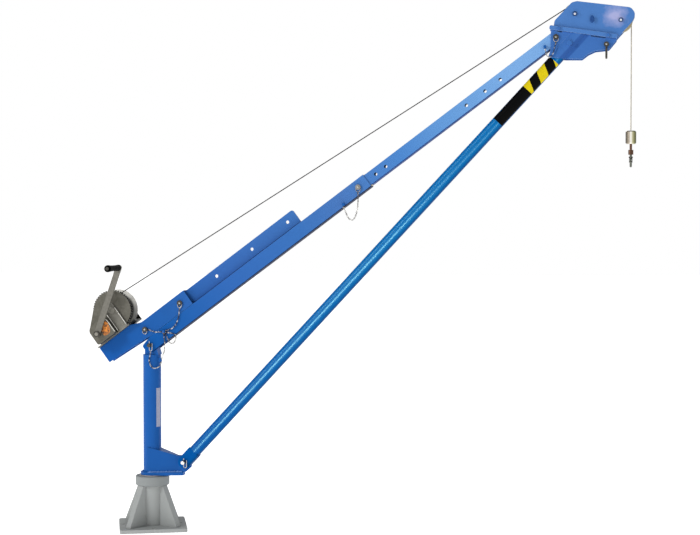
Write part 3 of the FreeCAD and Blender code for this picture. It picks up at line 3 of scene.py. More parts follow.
import bpy
import numpy as np
from mathutils import Matrix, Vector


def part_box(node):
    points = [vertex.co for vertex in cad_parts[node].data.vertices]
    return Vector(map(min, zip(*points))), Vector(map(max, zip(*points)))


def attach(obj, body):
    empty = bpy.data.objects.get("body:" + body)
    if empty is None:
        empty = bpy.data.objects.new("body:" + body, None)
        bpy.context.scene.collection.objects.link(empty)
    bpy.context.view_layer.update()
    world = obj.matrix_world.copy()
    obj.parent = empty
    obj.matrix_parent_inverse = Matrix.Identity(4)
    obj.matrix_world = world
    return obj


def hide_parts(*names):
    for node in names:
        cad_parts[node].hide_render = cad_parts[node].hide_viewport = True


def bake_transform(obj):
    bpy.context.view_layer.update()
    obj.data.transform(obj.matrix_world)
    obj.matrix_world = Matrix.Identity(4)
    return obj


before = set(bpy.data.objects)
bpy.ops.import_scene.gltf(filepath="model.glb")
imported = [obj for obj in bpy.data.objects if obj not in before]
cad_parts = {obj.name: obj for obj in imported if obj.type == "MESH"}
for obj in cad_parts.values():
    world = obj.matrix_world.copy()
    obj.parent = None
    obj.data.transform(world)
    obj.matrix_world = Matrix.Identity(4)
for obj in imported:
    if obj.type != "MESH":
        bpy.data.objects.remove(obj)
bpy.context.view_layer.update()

# The studio: a white floor and a white horizon under soft lamps, and the camera where the photographer stood.
# The light comes from the left and the front, so the faces on the right are in shade.
scene = bpy.context.scene
scene.view_settings.view_transform = "Standard"
aim = np.array([1.0007, 0.0, 1.3005])
azimuth, elevation, distance = math.radians(10), math.radians(1.5), 7.5
film_width, focal_length = 36, 79.35
lens = bpy.data.cameras.new("camera")
lens.sensor_width, lens.lens = film_width, focal_length
camera = bpy.data.objects.new("camera", lens)
camera.location = aim + distance * np.array([
    math.sin(azimuth) * math.cos(elevation), -math.cos(azimuth) * math.cos(elevation), math.sin(elevation)])
camera.rotation_euler = (math.pi / 2 - elevation, 0, azimuth)
scene.collection.objects.link(camera)
scene.camera = camera


def linear(hex_colour):
    """Turns an sRGB hex value into the linear colour that the shaders take."""
    part = np.array([int(hex_colour[k:k + 2], 16) for k in (0, 2, 4)]) / 255
    return (*np.where(part <= 0.04045, part / 12.92, ((part + 0.055) / 1.055) ** 2.4), 1.0)


def set_sockets(node, sockets):
    """Gives a node's sockets their values, or a link where the value is another node's output."""
    for name, value in dict(sockets).items():
        if isinstance(value, bpy.types.NodeSocket):
            node.id_data.links.new(value, node.inputs[name])
        else:
            node.inputs[name].default_value = value


def add(tree, kind, settings=(), sockets=()):
    """Adds one node to a tree, with its settings, socket values and incoming links."""
    made = tree.nodes.new("ShaderNode" + kind)
    for name, value in dict(settings).items():
        setattr(made, name, value)
    set_sockets(made, sockets)
    return made


dim_from, dim_to, overhead_strength = 0.18, 0.4, 0.3
sky = bpy.data.worlds.new("studio")
sky.use_nodes = True
facing_sky = add(sky.node_tree, "TexCoord").outputs["Generated"]
height = add(sky.node_tree, "SeparateXYZ", sockets={"Vector": facing_sky})
dimming = add(sky.node_tree, "MapRange", sockets={
    "Value": height.outputs["Z"], "From Min": dim_from, "From Max": dim_to, "To Min": 1.0,
    "To Max": overhead_strength})
backdrop = sky.node_tree.nodes["Background"]
set_sockets(backdrop, {"Color": linear("ffffff"), "Strength": dimming.outputs["Result"]})
scene.world = sky


def soft_lamp(name, place, target, upward, size, power):
    """A rectangular lamp that faces a target, with its second side along a chosen way."""
    lamp = bpy.data.lights.new(name, "AREA")
    lamp.shape, lamp.energy = "RECTANGLE", power
    lamp.size, lamp.size_y = size
    holder = bpy.data.objects.new(name, lamp)
    behind = np.array(place) - np.array(target)
    behind /= np.linalg.norm(behind)
    upward = np.array(upward) - behind * (behind @ upward)
    upward /= np.linalg.norm(upward)
    holder.location = place
    axes = np.stack([np.cross(upward, behind), upward, behind], 1)
    holder.rotation_euler = Matrix(axes.tolist()).to_euler()
    scene.collection.objects.link(holder)
    return holder


soft_lamp("key", place=(-3.6, -4.0, 4.2), target=(0.9, 0, 1.2), upward=(0, 0, 1), size=(1.6, 1.6), power=190)
soft_lamp("rim", place=(1.0, 4.6, 4.2), target=(1.0, 0, 1.2), upward=(0, 0, 1), size=(3.0, 3.0), power=60)


def quads(index):
    """Joins each four neighbours in a grid of point numbers to a face."""
    return np.stack([index[:-1, :-1], index[1:, :-1], index[1:, 1:], index[:-1, 1:]], -1).reshape(-1, 4)


def smooth_piece(name, points, faces, material):
    """Puts points and faces into a smooth mesh of one material, and shows it."""
    mesh = bpy.data.meshes.new(name)
    mesh.from_pydata(points.reshape(-1, 3).tolist(), [], faces)
    mesh.polygons.foreach_set("use_smooth", np.full(len(faces), True))
    mesh.materials.append(material)
    made = bpy.data.objects.new(name, mesh)
    scene.collection.objects.link(made)
    return made


def surface(name, points, material, close_u=False, close_v=False, flip=False, uv=None, caps=()):
    """Makes a piece from a grid of points; a closed direction joins its last line to its first.

    caps names the end rows, 0 for the first and -1 for the last, that get one face each."""
    rows, columns = points.shape[:2]
    index = np.arange(rows * columns).reshape(rows, columns)
    faces = quads(np.pad(index, ((0, int(close_u)), (0, int(close_v))), "wrap"))
    if flip:
        faces = faces[:, ::-1]
    rings = [index[row][::-1 if (row == -1) != flip else 1].tolist() for row in caps]
    made = smooth_piece(name, points, faces.tolist() + rings, material)
    if uv is not None:
        layer = made.data.uv_layers.new(name="strip")
        layer.data.foreach_set("uv", uv.reshape(-1, 2)[faces.reshape(-1)].astype(np.float32).ravel())
    return made


def new_material(name):
    """Starts a material, and gives it with its tree and its main shader."""
    made = bpy.data.materials.new(name)
    made.use_nodes = True
    return made, made.node_tree, made.node_tree.nodes["Principled BSDF"]


floor_reach = 40
paper, _, paper_shader = new_material("matt_white_floor")
set_sockets(paper_shader, {
    "Base Color": linear("f7f7f6"), "Roughness": 0.9, "Emission Color": linear("ffffff"),
    "Emission Strength": 0.85})
floor_line = np.linspace(-floor_reach, floor_reach, 3)
floor_points = np.stack([*np.meshgrid(floor_line, floor_line, indexing="ij"), np.zeros((3, 3))], -1)
ground = surface("floor", floor_points, paper)

# The pedestal is welded from plate, tube and thick ribs, and sprayed with satin grey enamel.
# The enamel is a little uneven where the gun went over the welds, and its edges are lightened as a painted
# highlight.
# The boom's way is given here because some of the paint has faded along it.
boom_way = np.array([0.80282, 0, 0.59622])
dust_mm, patch_mm, peel_mm = 35.714, 33.333, 5
paint_edge, peel_depth, flat_cosine, edge_cosine = 0.002, 0.0006, 0.985, 0.8
sheen_core, sheen_share, sheen_ragged, faded_cloud = 0.01, 0.62, 0.07, 0.15


def set_stops(ramp, stops):
    """Gives a colour ramp its stops, each a place from 0 to 1 and a colour."""
    elements = ramp.color_ramp.elements
    while len(elements) < len(stops):
        elements.new(1.0)
    for element, (at, hex_colour) in zip(elements, stops):
        element.position, element.color = at, linear(hex_colour)


def enamel(name, colour, shade, edge, roughness=0.4, gloss=0.1, fade=(), band=None, sheen=None, edge_highlight=0.5,
           peel=0.04, cloud_mm=181.818):
    """Sprayed enamel: two tones in clouds, edges rounded by 2 mm and lightened as a painted highlight, orange
    peel drawn at 5 mm.

    fade lists places along the boom and the colours that weather has turned the paint to there. band is a
    stretch of painted shade: its colour, a way, two levels along it and its blur. sheen is a painted
    highlight:
    its colour, centre and radius. The argument after sheen is how far the edges are lightened as a painted
    highlight, peel how strong the orange peel is, and cloud_mm how large the clouds are."""
    paint, tree, shader = new_material(name)
    place = add(tree, "TexCoord").outputs["Object"]

    def level(way, low, high):
        """Goes from 0 at low to 1 at high along a direction."""
        part = add(tree, "VectorMath", {"operation": "DOT_PRODUCT"}, {0: place, 1: way}).outputs["Value"]
        ramp = add(tree, "MapRange", sockets={"Value": part, "From Min": low, "From Max": high})
        return ramp.outputs["Result"]

    cloud = add(tree, "TexNoise", sockets={
        "Vector": place, "Scale": 1000 / cloud_mm, "Detail": 5.0, "Roughness": 0.6}).outputs["Fac"]
    first_tone = linear(colour)
    if fade:
        first, last = fade[0][0], fade[-1][0]
        weather = add(tree, "ValToRGB", sockets={"Fac": level(tuple(boom_way), first, last)})
        set_stops(weather, [((at - first) / (last - first), hex_colour) for at, hex_colour in fade])
        first_tone = weather.outputs["Color"]
        cloud = add(tree, "Math", {"operation": "MULTIPLY"}, {0: cloud, 1: faded_cloud}).outputs[0]
    tone = add(tree, "Mix", {"data_type": "RGBA"}, {0: cloud, 6: first_tone, 7: linear(shade)}).outputs[2]
    # The sheen is a pale patch painted on as a highlight.
    if sheen:
        sheen_colour, centre, radius = sheen
        flat = add(tree, "VectorMath", {"operation": "MULTIPLY"}, {0: place, 1: (1, 0, 1)}).outputs["Vector"]
        gap = add(tree, "VectorMath", {"operation": "DISTANCE"}, {0: flat, 1: centre}).outputs["Value"]
        patches = add(tree, "TexNoise", sockets={"Vector": place, "Scale": 1000 / patch_mm, "Detail": 3.0})
        ragged = add(tree, "Math", {"operation": "MULTIPLY_ADD"}, {
            0: patches.outputs["Fac"], 1: sheen_ragged, 2: -sheen_ragged / 2})
        uneven = add(tree, "Math", {"operation": "ADD"}, {0: gap, 1: ragged.outputs[0]})
        rub_and_sheen = add(tree, "MapRange", sockets={
            "Value": uneven.outputs[0], "From Min": radius, "From Max": sheen_core, "To Max": sheen_share})
        sheen_tones = {0: rub_and_sheen.outputs["Result"], 6: tone, 7: linear(sheen_colour)}
        tone = add(tree, "Mix", {"data_type": "RGBA"}, sheen_tones).outputs[2]
    rounded = {}
    # Lightening the edges towards the edge colour is a painted highlight.
    if edge_highlight:
        soft = add(tree, "Bevel", {"samples": 4}, {"Radius": paint_edge}).outputs["Normal"]
        facing = add(tree, "NewGeometry").outputs["Normal"]
        meet = add(tree, "VectorMath", {"operation": "DOT_PRODUCT"}, {0: soft, 1: facing}).outputs["Value"]
        wear_and_edge_highlight = add(tree, "MapRange", sockets={
            "Value": meet, "From Min": flat_cosine, "From Max": edge_cosine, "To Max": edge_highlight})
        edge_tones = {0: wear_and_edge_highlight.outputs["Result"], 6: tone, 7: linear(edge)}
        tone = add(tree, "Mix", {"data_type": "RGBA"}, edge_tones).outputs[2]
        rounded = {"Normal": soft}
    # The band darkens the tone between two levels as painted shade.
    if band:
        painted_shade, way, low, high, blur = band
        ends = {0: level(way, low - blur, low), 1: level(way, high + blur, high)}
        within = add(tree, "Math", {"operation": "MULTIPLY"}, ends).outputs[0]
        tone = add(tree, "Mix", {"data_type": "RGBA"}, {0: within, 6: tone, 7: linear(painted_shade)}).outputs[2]
    dust = add(tree, "TexNoise", sockets={"Vector": place, "Scale": 1000 / dust_mm, "Detail": 3.0})
    dull = add(tree, "MapRange", sockets={
        "Value": dust.outputs["Fac"], "From Min": 0.3, "From Max": 0.7, "To Min": 0.88 * roughness,
        "To Max": 1.17 * roughness})
    skin = add(tree, "TexNoise", sockets={"Vector": place, "Scale": 1000 / peel_mm, "Detail": 2.0})
    bump = add(tree, "Bump", sockets={
        "Height": skin.outputs["Fac"], "Strength": peel, "Distance": peel_depth, **rounded})
    set_sockets(shader, {
        "Base Color": tone, "Roughness": dull.outputs["Result"], "Normal": bump.outputs["Normal"],
        "Specular IOR Level": gloss})
    return paint


def dress(material, *nodes):
    """Gives CAD nodes one finish."""
    for node in nodes:
        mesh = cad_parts[node].data
        mesh.materials.clear()
        mesh.materials.append(material)


dress(enamel("satin_grey_enamel", "a3a6a5", "969998", "bfc1c0", 0.5),
      "base_plate", "socket_tube", "pedestal_ribs")
dress(enamel("shaded_grey_enamel", "8d9191", "828686", "a5a8a7", 0.5), "socket_collar")

# The slewing bushes in the pedestal and the drum's are turned from bronze and tinned.
# Tool marks are drawn at about 1.5 mm so that they show.
stain_mm, metal_edge, mark_depth = 16.667, 0.0008, 0.0003


def machined(name, colour, shade, roughness, mark_mm=1.5):
    """Machined metal: stains of 17 mm, tool marks, and edges rounded by 0.8 mm that catch the light."""
    metal, tree, shader = new_material(name)
    place = add(tree, "TexCoord").outputs["Object"]
    stains = add(tree, "TexNoise", sockets={"Vector": place, "Scale": 1000 / stain_mm, "Detail": 4.0})
    stain = stains.outputs["Fac"]
    tone = add(tree, "Mix", {"data_type": "RGBA"}, {0: stain, 6: linear(colour), 7: linear(shade)})
    dull = add(tree, "MapRange", sockets={
        "Value": stain, "From Min": 0.3, "From Max": 0.7, "To Min": roughness - 0.05,
        "To Max": roughness + 0.1})
    marks = add(tree, "TexNoise", sockets={"Vector": place, "Scale": 1000 / mark_mm, "Detail": 1.0})
    soft = add(tree, "Bevel", {"samples": 4}, {"Radius": metal_edge})
    bump = add(tree, "Bump", sockets={
        "Height": marks.outputs["Fac"], "Normal": soft.outputs["Normal"], "Strength": 0.1,
        "Distance": mark_depth})
    set_sockets(shader, {
        "Base Color": tone.outputs[2], "Metallic": 1.0, "Roughness": dull.outputs["Result"],
        "Normal": bump.outputs["Normal"]})
    return metal


dress(machined("tinned_bronze", "cfc4b8", "a89a8b", 0.32), "slew_bushes", "drum_bushes")

# The mast is a round tube with a spigot below, a folded bracket at its foot and a tongue on top.
# Its enamel is a deep blue, sprayed over the welds, and its spigot is bare turned steel.
mast_enamel = enamel("deep_blue_enamel", "165aa6", "124f98", "3a7ac4", 0.36)
plated_steel = machined("plated_steel", "a5a39e", "7b7974", 0.28)
dress(mast_enamel, "sole_plate", "mast_tube", "mast_tongue", "foot_bracket", "chain_tabs")
dress(plated_steel, "mast_spigot")

# The weld round the mast's foot is a rippled bead under the paint, 9 mm wide, on the sole plate.
# It runs where the folded bracket leaves the tube bare.
mast_radius, bead, bead_lift, bead_stand = 0.0889 / 2, 0.0045, 0.0005, 0.001
bead_ring = mast_radius + bead_stand
ripple, ripple_share, weld_bearings = 0.0028, 0.14, (75, 285)
sole_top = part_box("sole_plate")[1][2]


def round_ring(count):
    """Gives the angles of a number of equal steps once round."""
    return np.linspace(0, 2 * math.pi, count, endpoint=False)


turn, ring = np.meshgrid(np.radians(np.linspace(*weld_bearings, 240)), round_ring(12), indexing="ij")
thick = bead * (1 + ripple_share * np.sin(2 * math.pi * turn * bead_ring / ripple))
from_axis = bead_ring + thick * np.cos(ring)
weld_points = np.stack([
    from_axis * np.cos(turn), from_axis * np.sin(turn), sole_top + bead_lift + thick * np.sin(ring)], -1)
weld = surface("foot_weld", weld_points, mast_enamel, close_v=True, caps=(0, -1))
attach(weld, "mast")

# Two more beads run along the bracket's feet, one on each side, lumpy and speckled pale with painted glints.
# Each is 9 mm wide and follows the sheet's outer face, from the tube to the strut's fork.
lump, lump_waves, end_share = 0.0046, ((0.0131, 0.22), (0.0187, 0.2)), 0.05
foot_corners, foot_widths = (-0.008, 0.1347, 0.158), (0.0546, 0.0145, 0.0145)
foot_length = np.linspace(foot_corners[0], foot_corners[-1], 140)[:, None]
foot_width = np.interp(foot_length, foot_corners, foot_widths)
ring = round_ring(12)
lumps = lump * (1 + sum(share * np.sin(2 * math.pi * foot_length / wave) for wave, share in lump_waves))
lumps[[0, -1]] = end_share * lump
glint_speckled_enamel = enamel("glint_speckled_blue_enamel", "8ab6f0", "0d4192", "8fbaf0", 0.3, gloss=0.3, cloud_mm=14.286)
for name, side in (("near_foot_weld", -1), ("far_foot_weld", 1)):
    foot_points = np.stack([
        foot_length + 0 * ring, side * (foot_width + lumps * np.cos(ring)),
        sole_top + bead_lift + lumps * np.sin(ring)], -1)
    foot_weld = surface(name, foot_points, glint_speckled_enamel, close_v=True, flip=side > 0, caps=(0, -1))
    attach(foot_weld, "mast")

# A bare paper sticker lies on the mast's right side, faded and a little grey.
# It is 29 mm wide and goes from 506 to 698 mm above the floor.
sticker_low, sticker_high, sticker_thick, fibre_mm = 0.506, 0.6985, 0.0003, 8.333
sticker_radius, sticker_bearings = mast_radius + sticker_thick, (81, 44)
label, label_tree, label_shader = new_material("faded_paper")
label_place = add(label_tree, "TexCoord").outputs["Object"]
fibre = add(label_tree, "TexNoise", sockets={"Vector": label_place, "Scale": 1000 / fibre_mm, "Detail": 5.0})
label_tone = add(label_tree, "Mix", {"data_type": "RGBA"}, {
    0: fibre.outputs["Fac"], 6: linear("a9adc4"), 7: linear("888ca2")})
set_sockets(label_shader, {"Base Color": label_tone.outputs[2], "Roughness": 0.6})
rise, bearing = np.meshgrid(
    np.linspace(sticker_low, sticker_high, 12), np.radians(np.linspace(*sticker_bearings, 14)), indexing="ij")
sticker_points = np.stack([sticker_radius * np.sin(bearing), -sticker_radius * np.cos(bearing), rise], -1)
sticker = surface("bare_sticker", sticker_points, label)
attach(sticker, "mast")

# The strut is a long drawn tube with a fork at its foot, in a brighter and glossier blue than the mast.
# The tube is drawn round its axis with a smooth skin, so that its gloss runs along it in lines.
# Three strip lamps that light it alone give it a sharp line, which weakens upwards, and a faint broad one.
foot_pin, strut_way = np.array([0.172, 0, 0.334]), np.array([0.680666, 0, 0.732594])
strut_up, near = np.array([-strut_way[2], 0, strut_way[0]]), np.array([0, -1, 0])
strut_axis = foot_pin @ strut_up
strut_radius, strut_wall, end_round = 0.0603 / 2, 0.004, 0.001
# A band of darker blue along the tube's lower flank is painted shade.
strut_enamel = enamel(
    "gloss_azure_enamel", "005ea2", "005498", "2f90d8", 0.34, gloss=0.05, edge_highlight=0, peel=0.0,
    fade=((0.4, "00509a"), (1.8, "0064a6"), (3.0, "0066a8")),
    band=("00447e", tuple(strut_up), strut_axis - 0.05, strut_axis - 0.026, 0.008))
set_sockets(strut_enamel.node_tree.nodes["Principled BSDF"], {"Specular Tint": linear("b3fff6")})
dress(strut_enamel, "strut_fork")
low_end, high_end = [(corner[0] - foot_pin[0] + side * strut_radius * strut_way[2]) / strut_way[0]
                     for corner, side in zip(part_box("strut_tube"), (1, -1))]
strut_bore, end_radius = strut_radius - strut_wall, strut_radius - end_round
skin = np.array([
    (strut_bore, low_end), (end_radius, low_end), (strut_radius, low_end + end_round),
    *[(strut_radius, place) for place in np.linspace(low_end + 2 * end_round, high_end - 2 * end_round, 40)],
    (strut_radius, high_end - end_round), (end_radius, high_end), (strut_bore, high_end)])
turn = round_ring(96)[:, None]
tube_points = (foot_pin + skin[:, None, 1:] * strut_way
               + skin[:, None, :1] * (np.cos(turn) * near + np.sin(turn) * strut_up))
strut_skin = surface("strut_skin", tube_points, strut_enamel, close_u=True, close_v=True)
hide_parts("strut_tube")
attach(strut_skin, "mast")
strut_middle = foot_pin + strut_way * (low_end + high_end) / 2
lit_by_strips = bpy.data.collections.new("lit_by_strips")
lit_by_strips.objects.link(strut_skin)
strip_slant = 0.2
# Each strip has a lean in degrees, a distance, a shift along the strut, a width and length, and a power.
STRIPS = (
    ("low_strip", -4, 1.5, -0.9, (0.12, 2.2), 640),
    ("high_strip", -26, 1.5, 0.8, (0.12, 1.2), 90),
    ("broad_strip", 56, 5.0, 0.0, (2.0, 6.0), 900),
)
for name, lean_degrees, away, shift, size, power in STRIPS:
    lean = math.radians(lean_degrees)
    strip_target = strut_middle + shift * strut_way
    strip_place = strip_target + away * (math.cos(lean) * near + math.sin(lean) * strut_up)
    strip_lamp = soft_lamp(name, strip_place, strip_target, strut_way - strip_slant * strut_up, size, power)
    strip_lamp.visible_camera = False
    strip_lamp.visible_diffuse = False
    strip_lamp.light_linking.receiver_collection = lit_by_strips

# The strut's mark is a black band of vinyl and a stretch of hazard tape, on the side of the winch's crank.
# Both wrap 68 degrees each way round the tube, and the stripes are 51 mm long and lean by 24 degrees.
mark_start, band_end, mark_end, tape = 2.270, 2.475, 2.660, 0.0003
stripe, first_stripe, stripe_lean, scuff_mm = 0.051, 2.530, math.radians(24), 11.111
mark_radius, wrap = strut_radius + tape, math.radians(68)
vinyl, vinyl_tree, vinyl_shader = new_material("gloss_vinyl_tape")
tape_place = add(vinyl_tree, "UVMap", {"uv_map": "strip"}).outputs["UV"]
on_tape = add(vinyl_tree, "SeparateXYZ", sockets={"Vector": tape_place})
leaning = add(vinyl_tree, "Math", {"operation": "MULTIPLY"}, {
    0: on_tape.outputs["Y"], 1: -math.tan(stripe_lean)})
slant = add(vinyl_tree, "Math", {"operation": "ADD"}, {0: on_tape.outputs["X"], 1: leaning.outputs[0]})
from_first = add(vinyl_tree, "Math", {"operation": "SUBTRACT"}, {0: slant.outputs[0], 1: first_stripe})
to_stripe = add(vinyl_tree, "Math", {"operation": "PINGPONG"}, {0: from_first.outputs[0], 1: stripe})
in_stripe = add(vinyl_tree, "Math", {"operation": "LESS_THAN"}, {0: to_stripe.outputs[0], 1: stripe / 2})
in_band = add(vinyl_tree, "Math", {"operation": "LESS_THAN"}, {0: on_tape.outputs["X"], 1: band_end})
dark = add(vinyl_tree, "Math", {"operation": "MAXIMUM"}, {0: in_stripe.outputs[0], 1: in_band.outputs[0]})
scuff = add(vinyl_tree, "TexNoise", sockets={
    "Vector": add(vinyl_tree, "TexCoord").outputs["Object"], "Scale": 1000 / scuff_mm, "Detail": 4.0})
yellow, black = [
    add(vinyl_tree, "Mix", {"data_type": "RGBA"}, {0: scuff.outputs["Fac"], 6: linear(new), 7: linear(wear_and_edge_highlight)})
    for new, wear_and_edge_highlight in (("dcc81c", "cdb714"), ("050505", "0c0c0d"))]
vinyl_tone = add(vinyl_tree, "Mix", {"data_type": "RGBA"}, {
    0: dark.outputs[0], 6: yellow.outputs[2], 7: black.outputs[2]})
set_sockets(vinyl_shader, {"Base Color": vinyl_tone.outputs[2], "Roughness": 0.4, "Specular IOR Level": 0.03})
run, round_tube = np.meshgrid(
    np.linspace(mark_start, mark_end, 60), np.linspace(-wrap, wrap, 25), indexing="ij")
from_strut = np.cos(round_tube)[..., None] * near + np.sin(round_tube)[..., None] * strut_up
mark_points = foot_pin + run[..., None] * strut_way + mark_radius * from_strut
mark = surface("strut_mark", mark_points, vinyl, uv=np.stack([run, mark_radius * round_tube], -1))
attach(mark, "mast")

# The boom is two square tubes, one inside the other, with a drilled fin welded on the outer one.
# Its blue fades towards the head, and painted shade lies along the lower edge.
pivot, boom_up = np.array([0, 0, 0.912]), np.array([-boom_way[2], 0, boom_way[0]])
boom_axis, painted_shade_blur = pivot @ boom_up, 0.001
weathering = (
    (0.35, "064f9c"), (0.70, "19569e"), (1.06, "3162aa"), (1.50, "396bae"), (1.75, "4771b0"),
    (2.10, "4a80c2"), (2.41, "6396cf"), (2.80, "7aa8dc"))
# Each finish has its node, edge highlight colour and gloss, and its painted shade's colour and top above the
# boom's axis.
BOOM_FINISHES = (
    ("weathered_boom_enamel", "outer_boom", "7fa6da", 0.01, "0a1c40", -0.0325),
    ("weathered_slide_enamel", "inner_boom", "8fb2e0", 0.01, "1c3f7c", -0.0275),
    ("weathered_fin_enamel", "boom_fin", "9fc0ea", 0.1, "10295a", 0.041),
)
for name, node, edge, gloss, painted_shade, painted_shade_top in BOOM_FINISHES:
    # The dark band below this top is painted shade.
    lower_shade = (painted_shade, tuple(boom_up), 0, boom_axis + painted_shade_top, painted_shade_blur)
    dress(enamel(name, "396bae", "2a5ca0", edge, gloss=gloss, fade=weathering, band=lower_shade), node)
dress(enamel("weathered_seat_enamel", "396bae", "2a5ca0", "4d83c6", fade=weathering), "winch_bracket")

# The head is cut and pressed from plate: cheeks with a gutter for the strut, and the sheave box above them.
# Round the front axle a pale sheen is painted on as a highlight, and painted shade lies along the gutter's
# lower flank.
rear_axle, front_axle = (2.079379, 0, 2.497462), (2.292581, 0, 2.464075)
# The head's edges carry a stronger painted highlight than the other enamels.
dress(enamel("sheave_box_enamel", "4f7ec0", "4170b0", "b4cdf2", 0.34, edge_highlight=0.8,
             sheen=("c4bfe2", (2.268, 0, 2.486), 0.065)), "sheave_box")
dress(enamel("cheek_enamel", "4070b6", "3565aa", "a9c5ee", 0.34, edge_highlight=0.8,
             band=("2c579c", tuple(strut_up), strut_axis - 0.04, strut_axis - 0.014, 0.006)), "head_cheeks")

# The head's bolts are sprayed over together with it, apart from the bright ends of the sheaves' axles.
# A plain mask on the distance from either axle divides the two finishes.
bare_radius = 0.005
bolts = enamel("bolts_part_painted", "3c6db2", "3262a8", "7ba0d6", 0.34)
bolt_tree = bolts.node_tree
bolt_shader = bolt_tree.nodes["Principled BSDF"]
bolt_place = add(bolt_tree, "TexCoord").outputs["Object"]
flat = add(bolt_tree, "VectorMath", {"operation": "MULTIPLY"}, {0: bolt_place, 1: (1, 0, 1)})
gaps = [add(bolt_tree, "VectorMath", {"operation": "DISTANCE"}, {0: flat.outputs["Vector"], 1: axle})
        for axle in (rear_axle, front_axle)]
nearest = add(bolt_tree, "Math", {"operation": "MINIMUM"}, {
    number: gap.outputs["Value"] for number, gap in enumerate(gaps)}).outputs[0]
bare = add(bolt_tree, "Math", {"operation": "LESS_THAN"}, {0: nearest, 1: bare_radius}).outputs[0]
painted = bolt_shader.inputs["Base Color"].links[0].from_socket
bolt_tone = add(bolt_tree, "Mix", {"data_type": "RGBA"}, {0: bare, 6: painted, 7: linear("f1f0ec")})
set_sockets(bolt_shader, {"Base Color": bolt_tone.outputs[2], "Metallic": bare})
dress(bolts, "head_bolts")

# The sheaves, their spacers and the boom's slides are cast nylon, off-white and oily.
# The sheaves run on the two axles inside the box, and the slides fill the gap between the boom's tubes.
mottle_mm, grain_mm, grain_depth = 20, 2, 0.0003


def moulded(name, colour, shade, roughness, gloss=0.1):
    """Moulded plastic: a faint mottle and a fine grain, drawn at 2 mm so that it shows."""
    plastic, tree, shader = new_material(name)
    place = add(tree, "TexCoord").outputs["Object"]
    mottle = add(tree, "TexNoise", sockets={"Vector": place, "Scale": 1000 / mottle_mm, "Detail": 3.0})
    tone = add(tree, "Mix", {"data_type": "RGBA"}, {
        0: mottle.outputs["Fac"], 6: linear(colour), 7: linear(shade)})
    grain = add(tree, "TexNoise", sockets={"Vector": place, "Scale": 1000 / grain_mm})
    bump = add(tree, "Bump", sockets={
        "Height": grain.outputs["Fac"], "Strength": 0.2, "Distance": grain_depth})
    set_sockets(shader, {
        "Base Color": tone.outputs[2], "Roughness": roughness, "Specular IOR Level": gloss,
        "Normal": bump.outputs["Normal"]})
    return plastic


dress(moulded("cast_nylon", "c9bd9c", "b0a482", 0.4),
      "rear_sheave", "front_sheave", "sheave_spacers", "boom_spacers")

# A shallow oval is pressed into the near side of the sheave box, between its two axles.
# It is 20 mm wide and 36 mm high, with a rim that stands out, painted a darker blue as the shade in the dent.
box_face = -0.047
dent = np.array([2.1595, box_face, 2.470])
dent_half_width, dent_half_height, dent_rim, dent_gap = 0.010, 0.018, 0.0012, 0.0002
dent_shade_enamel = enamel("shaded_dent_enamel", "27508f", "1f437c", "3a6aae", 0.4)
part, turn = np.meshgrid(np.linspace(1, 0.02, 8), round_ring(40), indexing="ij")
dent_points = dent + np.stack([
    dent_half_width * part * np.cos(turn), -dent_rim * np.sin(math.pi * part) - dent_gap,
    dent_half_height * part * np.sin(turn)], -1)
pressed = surface("pressed_oval", dent_points, dent_shade_enamel, close_v=True, flip=True, caps=(-1,))
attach(pressed, "mast")

# The pins are blackened by weather, with a bright rubbed dome on each near end and bright clips and rings.
# The domes are turned pieces 9 mm across that stand 2 mm off the pins' heads, and the foot pin's is broader.
dark_steel = machined("weathered_steel", "5b5955", "3b3936", 0.34)
bright_steel = machined("bright_steel", "c9c7c2", "a9a7a1", 0.26)
polished_steel = machined("polished_steel", "f0efec", "dddbd6", 0.3)
dress(dark_steel, "pull_pins", "hinge_pins", "shackle_pin", "hook_latch")
dress(plated_steel, "lock_pin")
dress(bright_steel, "pin_clips")


def turned(name, profile, material, *centres, caps=(-1,)):
    """Turned pieces: a profile of radii and heights is swept round an axis that points to the near side."""
    ring = round_ring(32)
    radius, height = np.array(profile).T[:, :, None]
    shape = np.stack([radius * np.cos(ring), -height + 0 * ring, radius * np.sin(ring)], -1)
    made = []
    for number, centre in enumerate(centres):
        piece = surface(f"{name}_{number + 1}", shape + np.array(centre), material, close_v=True, flip=True,
                        caps=caps)
        made.append(piece)
    return made


dome = ((0.0045, -0.001), (0.0045, 0.0006), (0.0041, 0.0013), (0.0032, 0.0018), (0.002, 0.002),
        (0.0001, 0.002))
foot_pin_spread = 2.1
broad_dome = np.array(dome) * (foot_pin_spread, 1)
pin_ends = (
    (-0.025036, -0.0445, 0.989319), (0.153992, -0.0445, 1.122277), (1.99179, -0.0455, 2.391234),
    (2.226232, -0.0595, 2.351282))
foot_pin_end, lock_pin_end = (0.172, -0.0595, 0.334), (1.046874, -0.0445, 1.689477)
for piece in turned("pin_dome", dome, bright_steel, *pin_ends):
    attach(piece, "mast")
for piece in turned("foot_pin_dome", broad_dome, polished_steel, foot_pin_end):
    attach(piece, "mast")
for piece in turned("lock_pin_dome", dome, bright_steel, lock_pin_end):
    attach(piece, "lock")

# Dark spring washers 22 mm across lie under the bright ends of the sheaves' axles.
# Their black is painted shade round the axles' heads, and they are held by the axles' heads.
washer_shade_steel = machined("shade_black_washer_steel", "2a2927", "191817", 0.4)
washer = ((0.011, 0.0), (0.011, 0.001), (0.0104, 0.0016), (0.009, 0.0016), (0.0087, 0.001), (0.0087, 0.0))
washer_places = [(x, box_face, z) for x, _, z in (rear_axle, front_axle)]
for piece in turned("axle_washer", washer, washer_shade_steel, *washer_places, caps=()):
    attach(piece, "mast")

# The winch is pressed from galvanised sheet whose zinc has weathered to a warm grey, with faint crystals.
# The plates are dull, and the drum's flanges are near-white as a painted highlight.
# Near the drum's axis and along the frame's front the zinc is painted black as shade.
# The gear is black with grease.
crystal_mm, zinc_stain_mm, zinc_edge = 9.091, 40, 0.0015
front_shade_blur, hub_blur = 0.004, 0.005


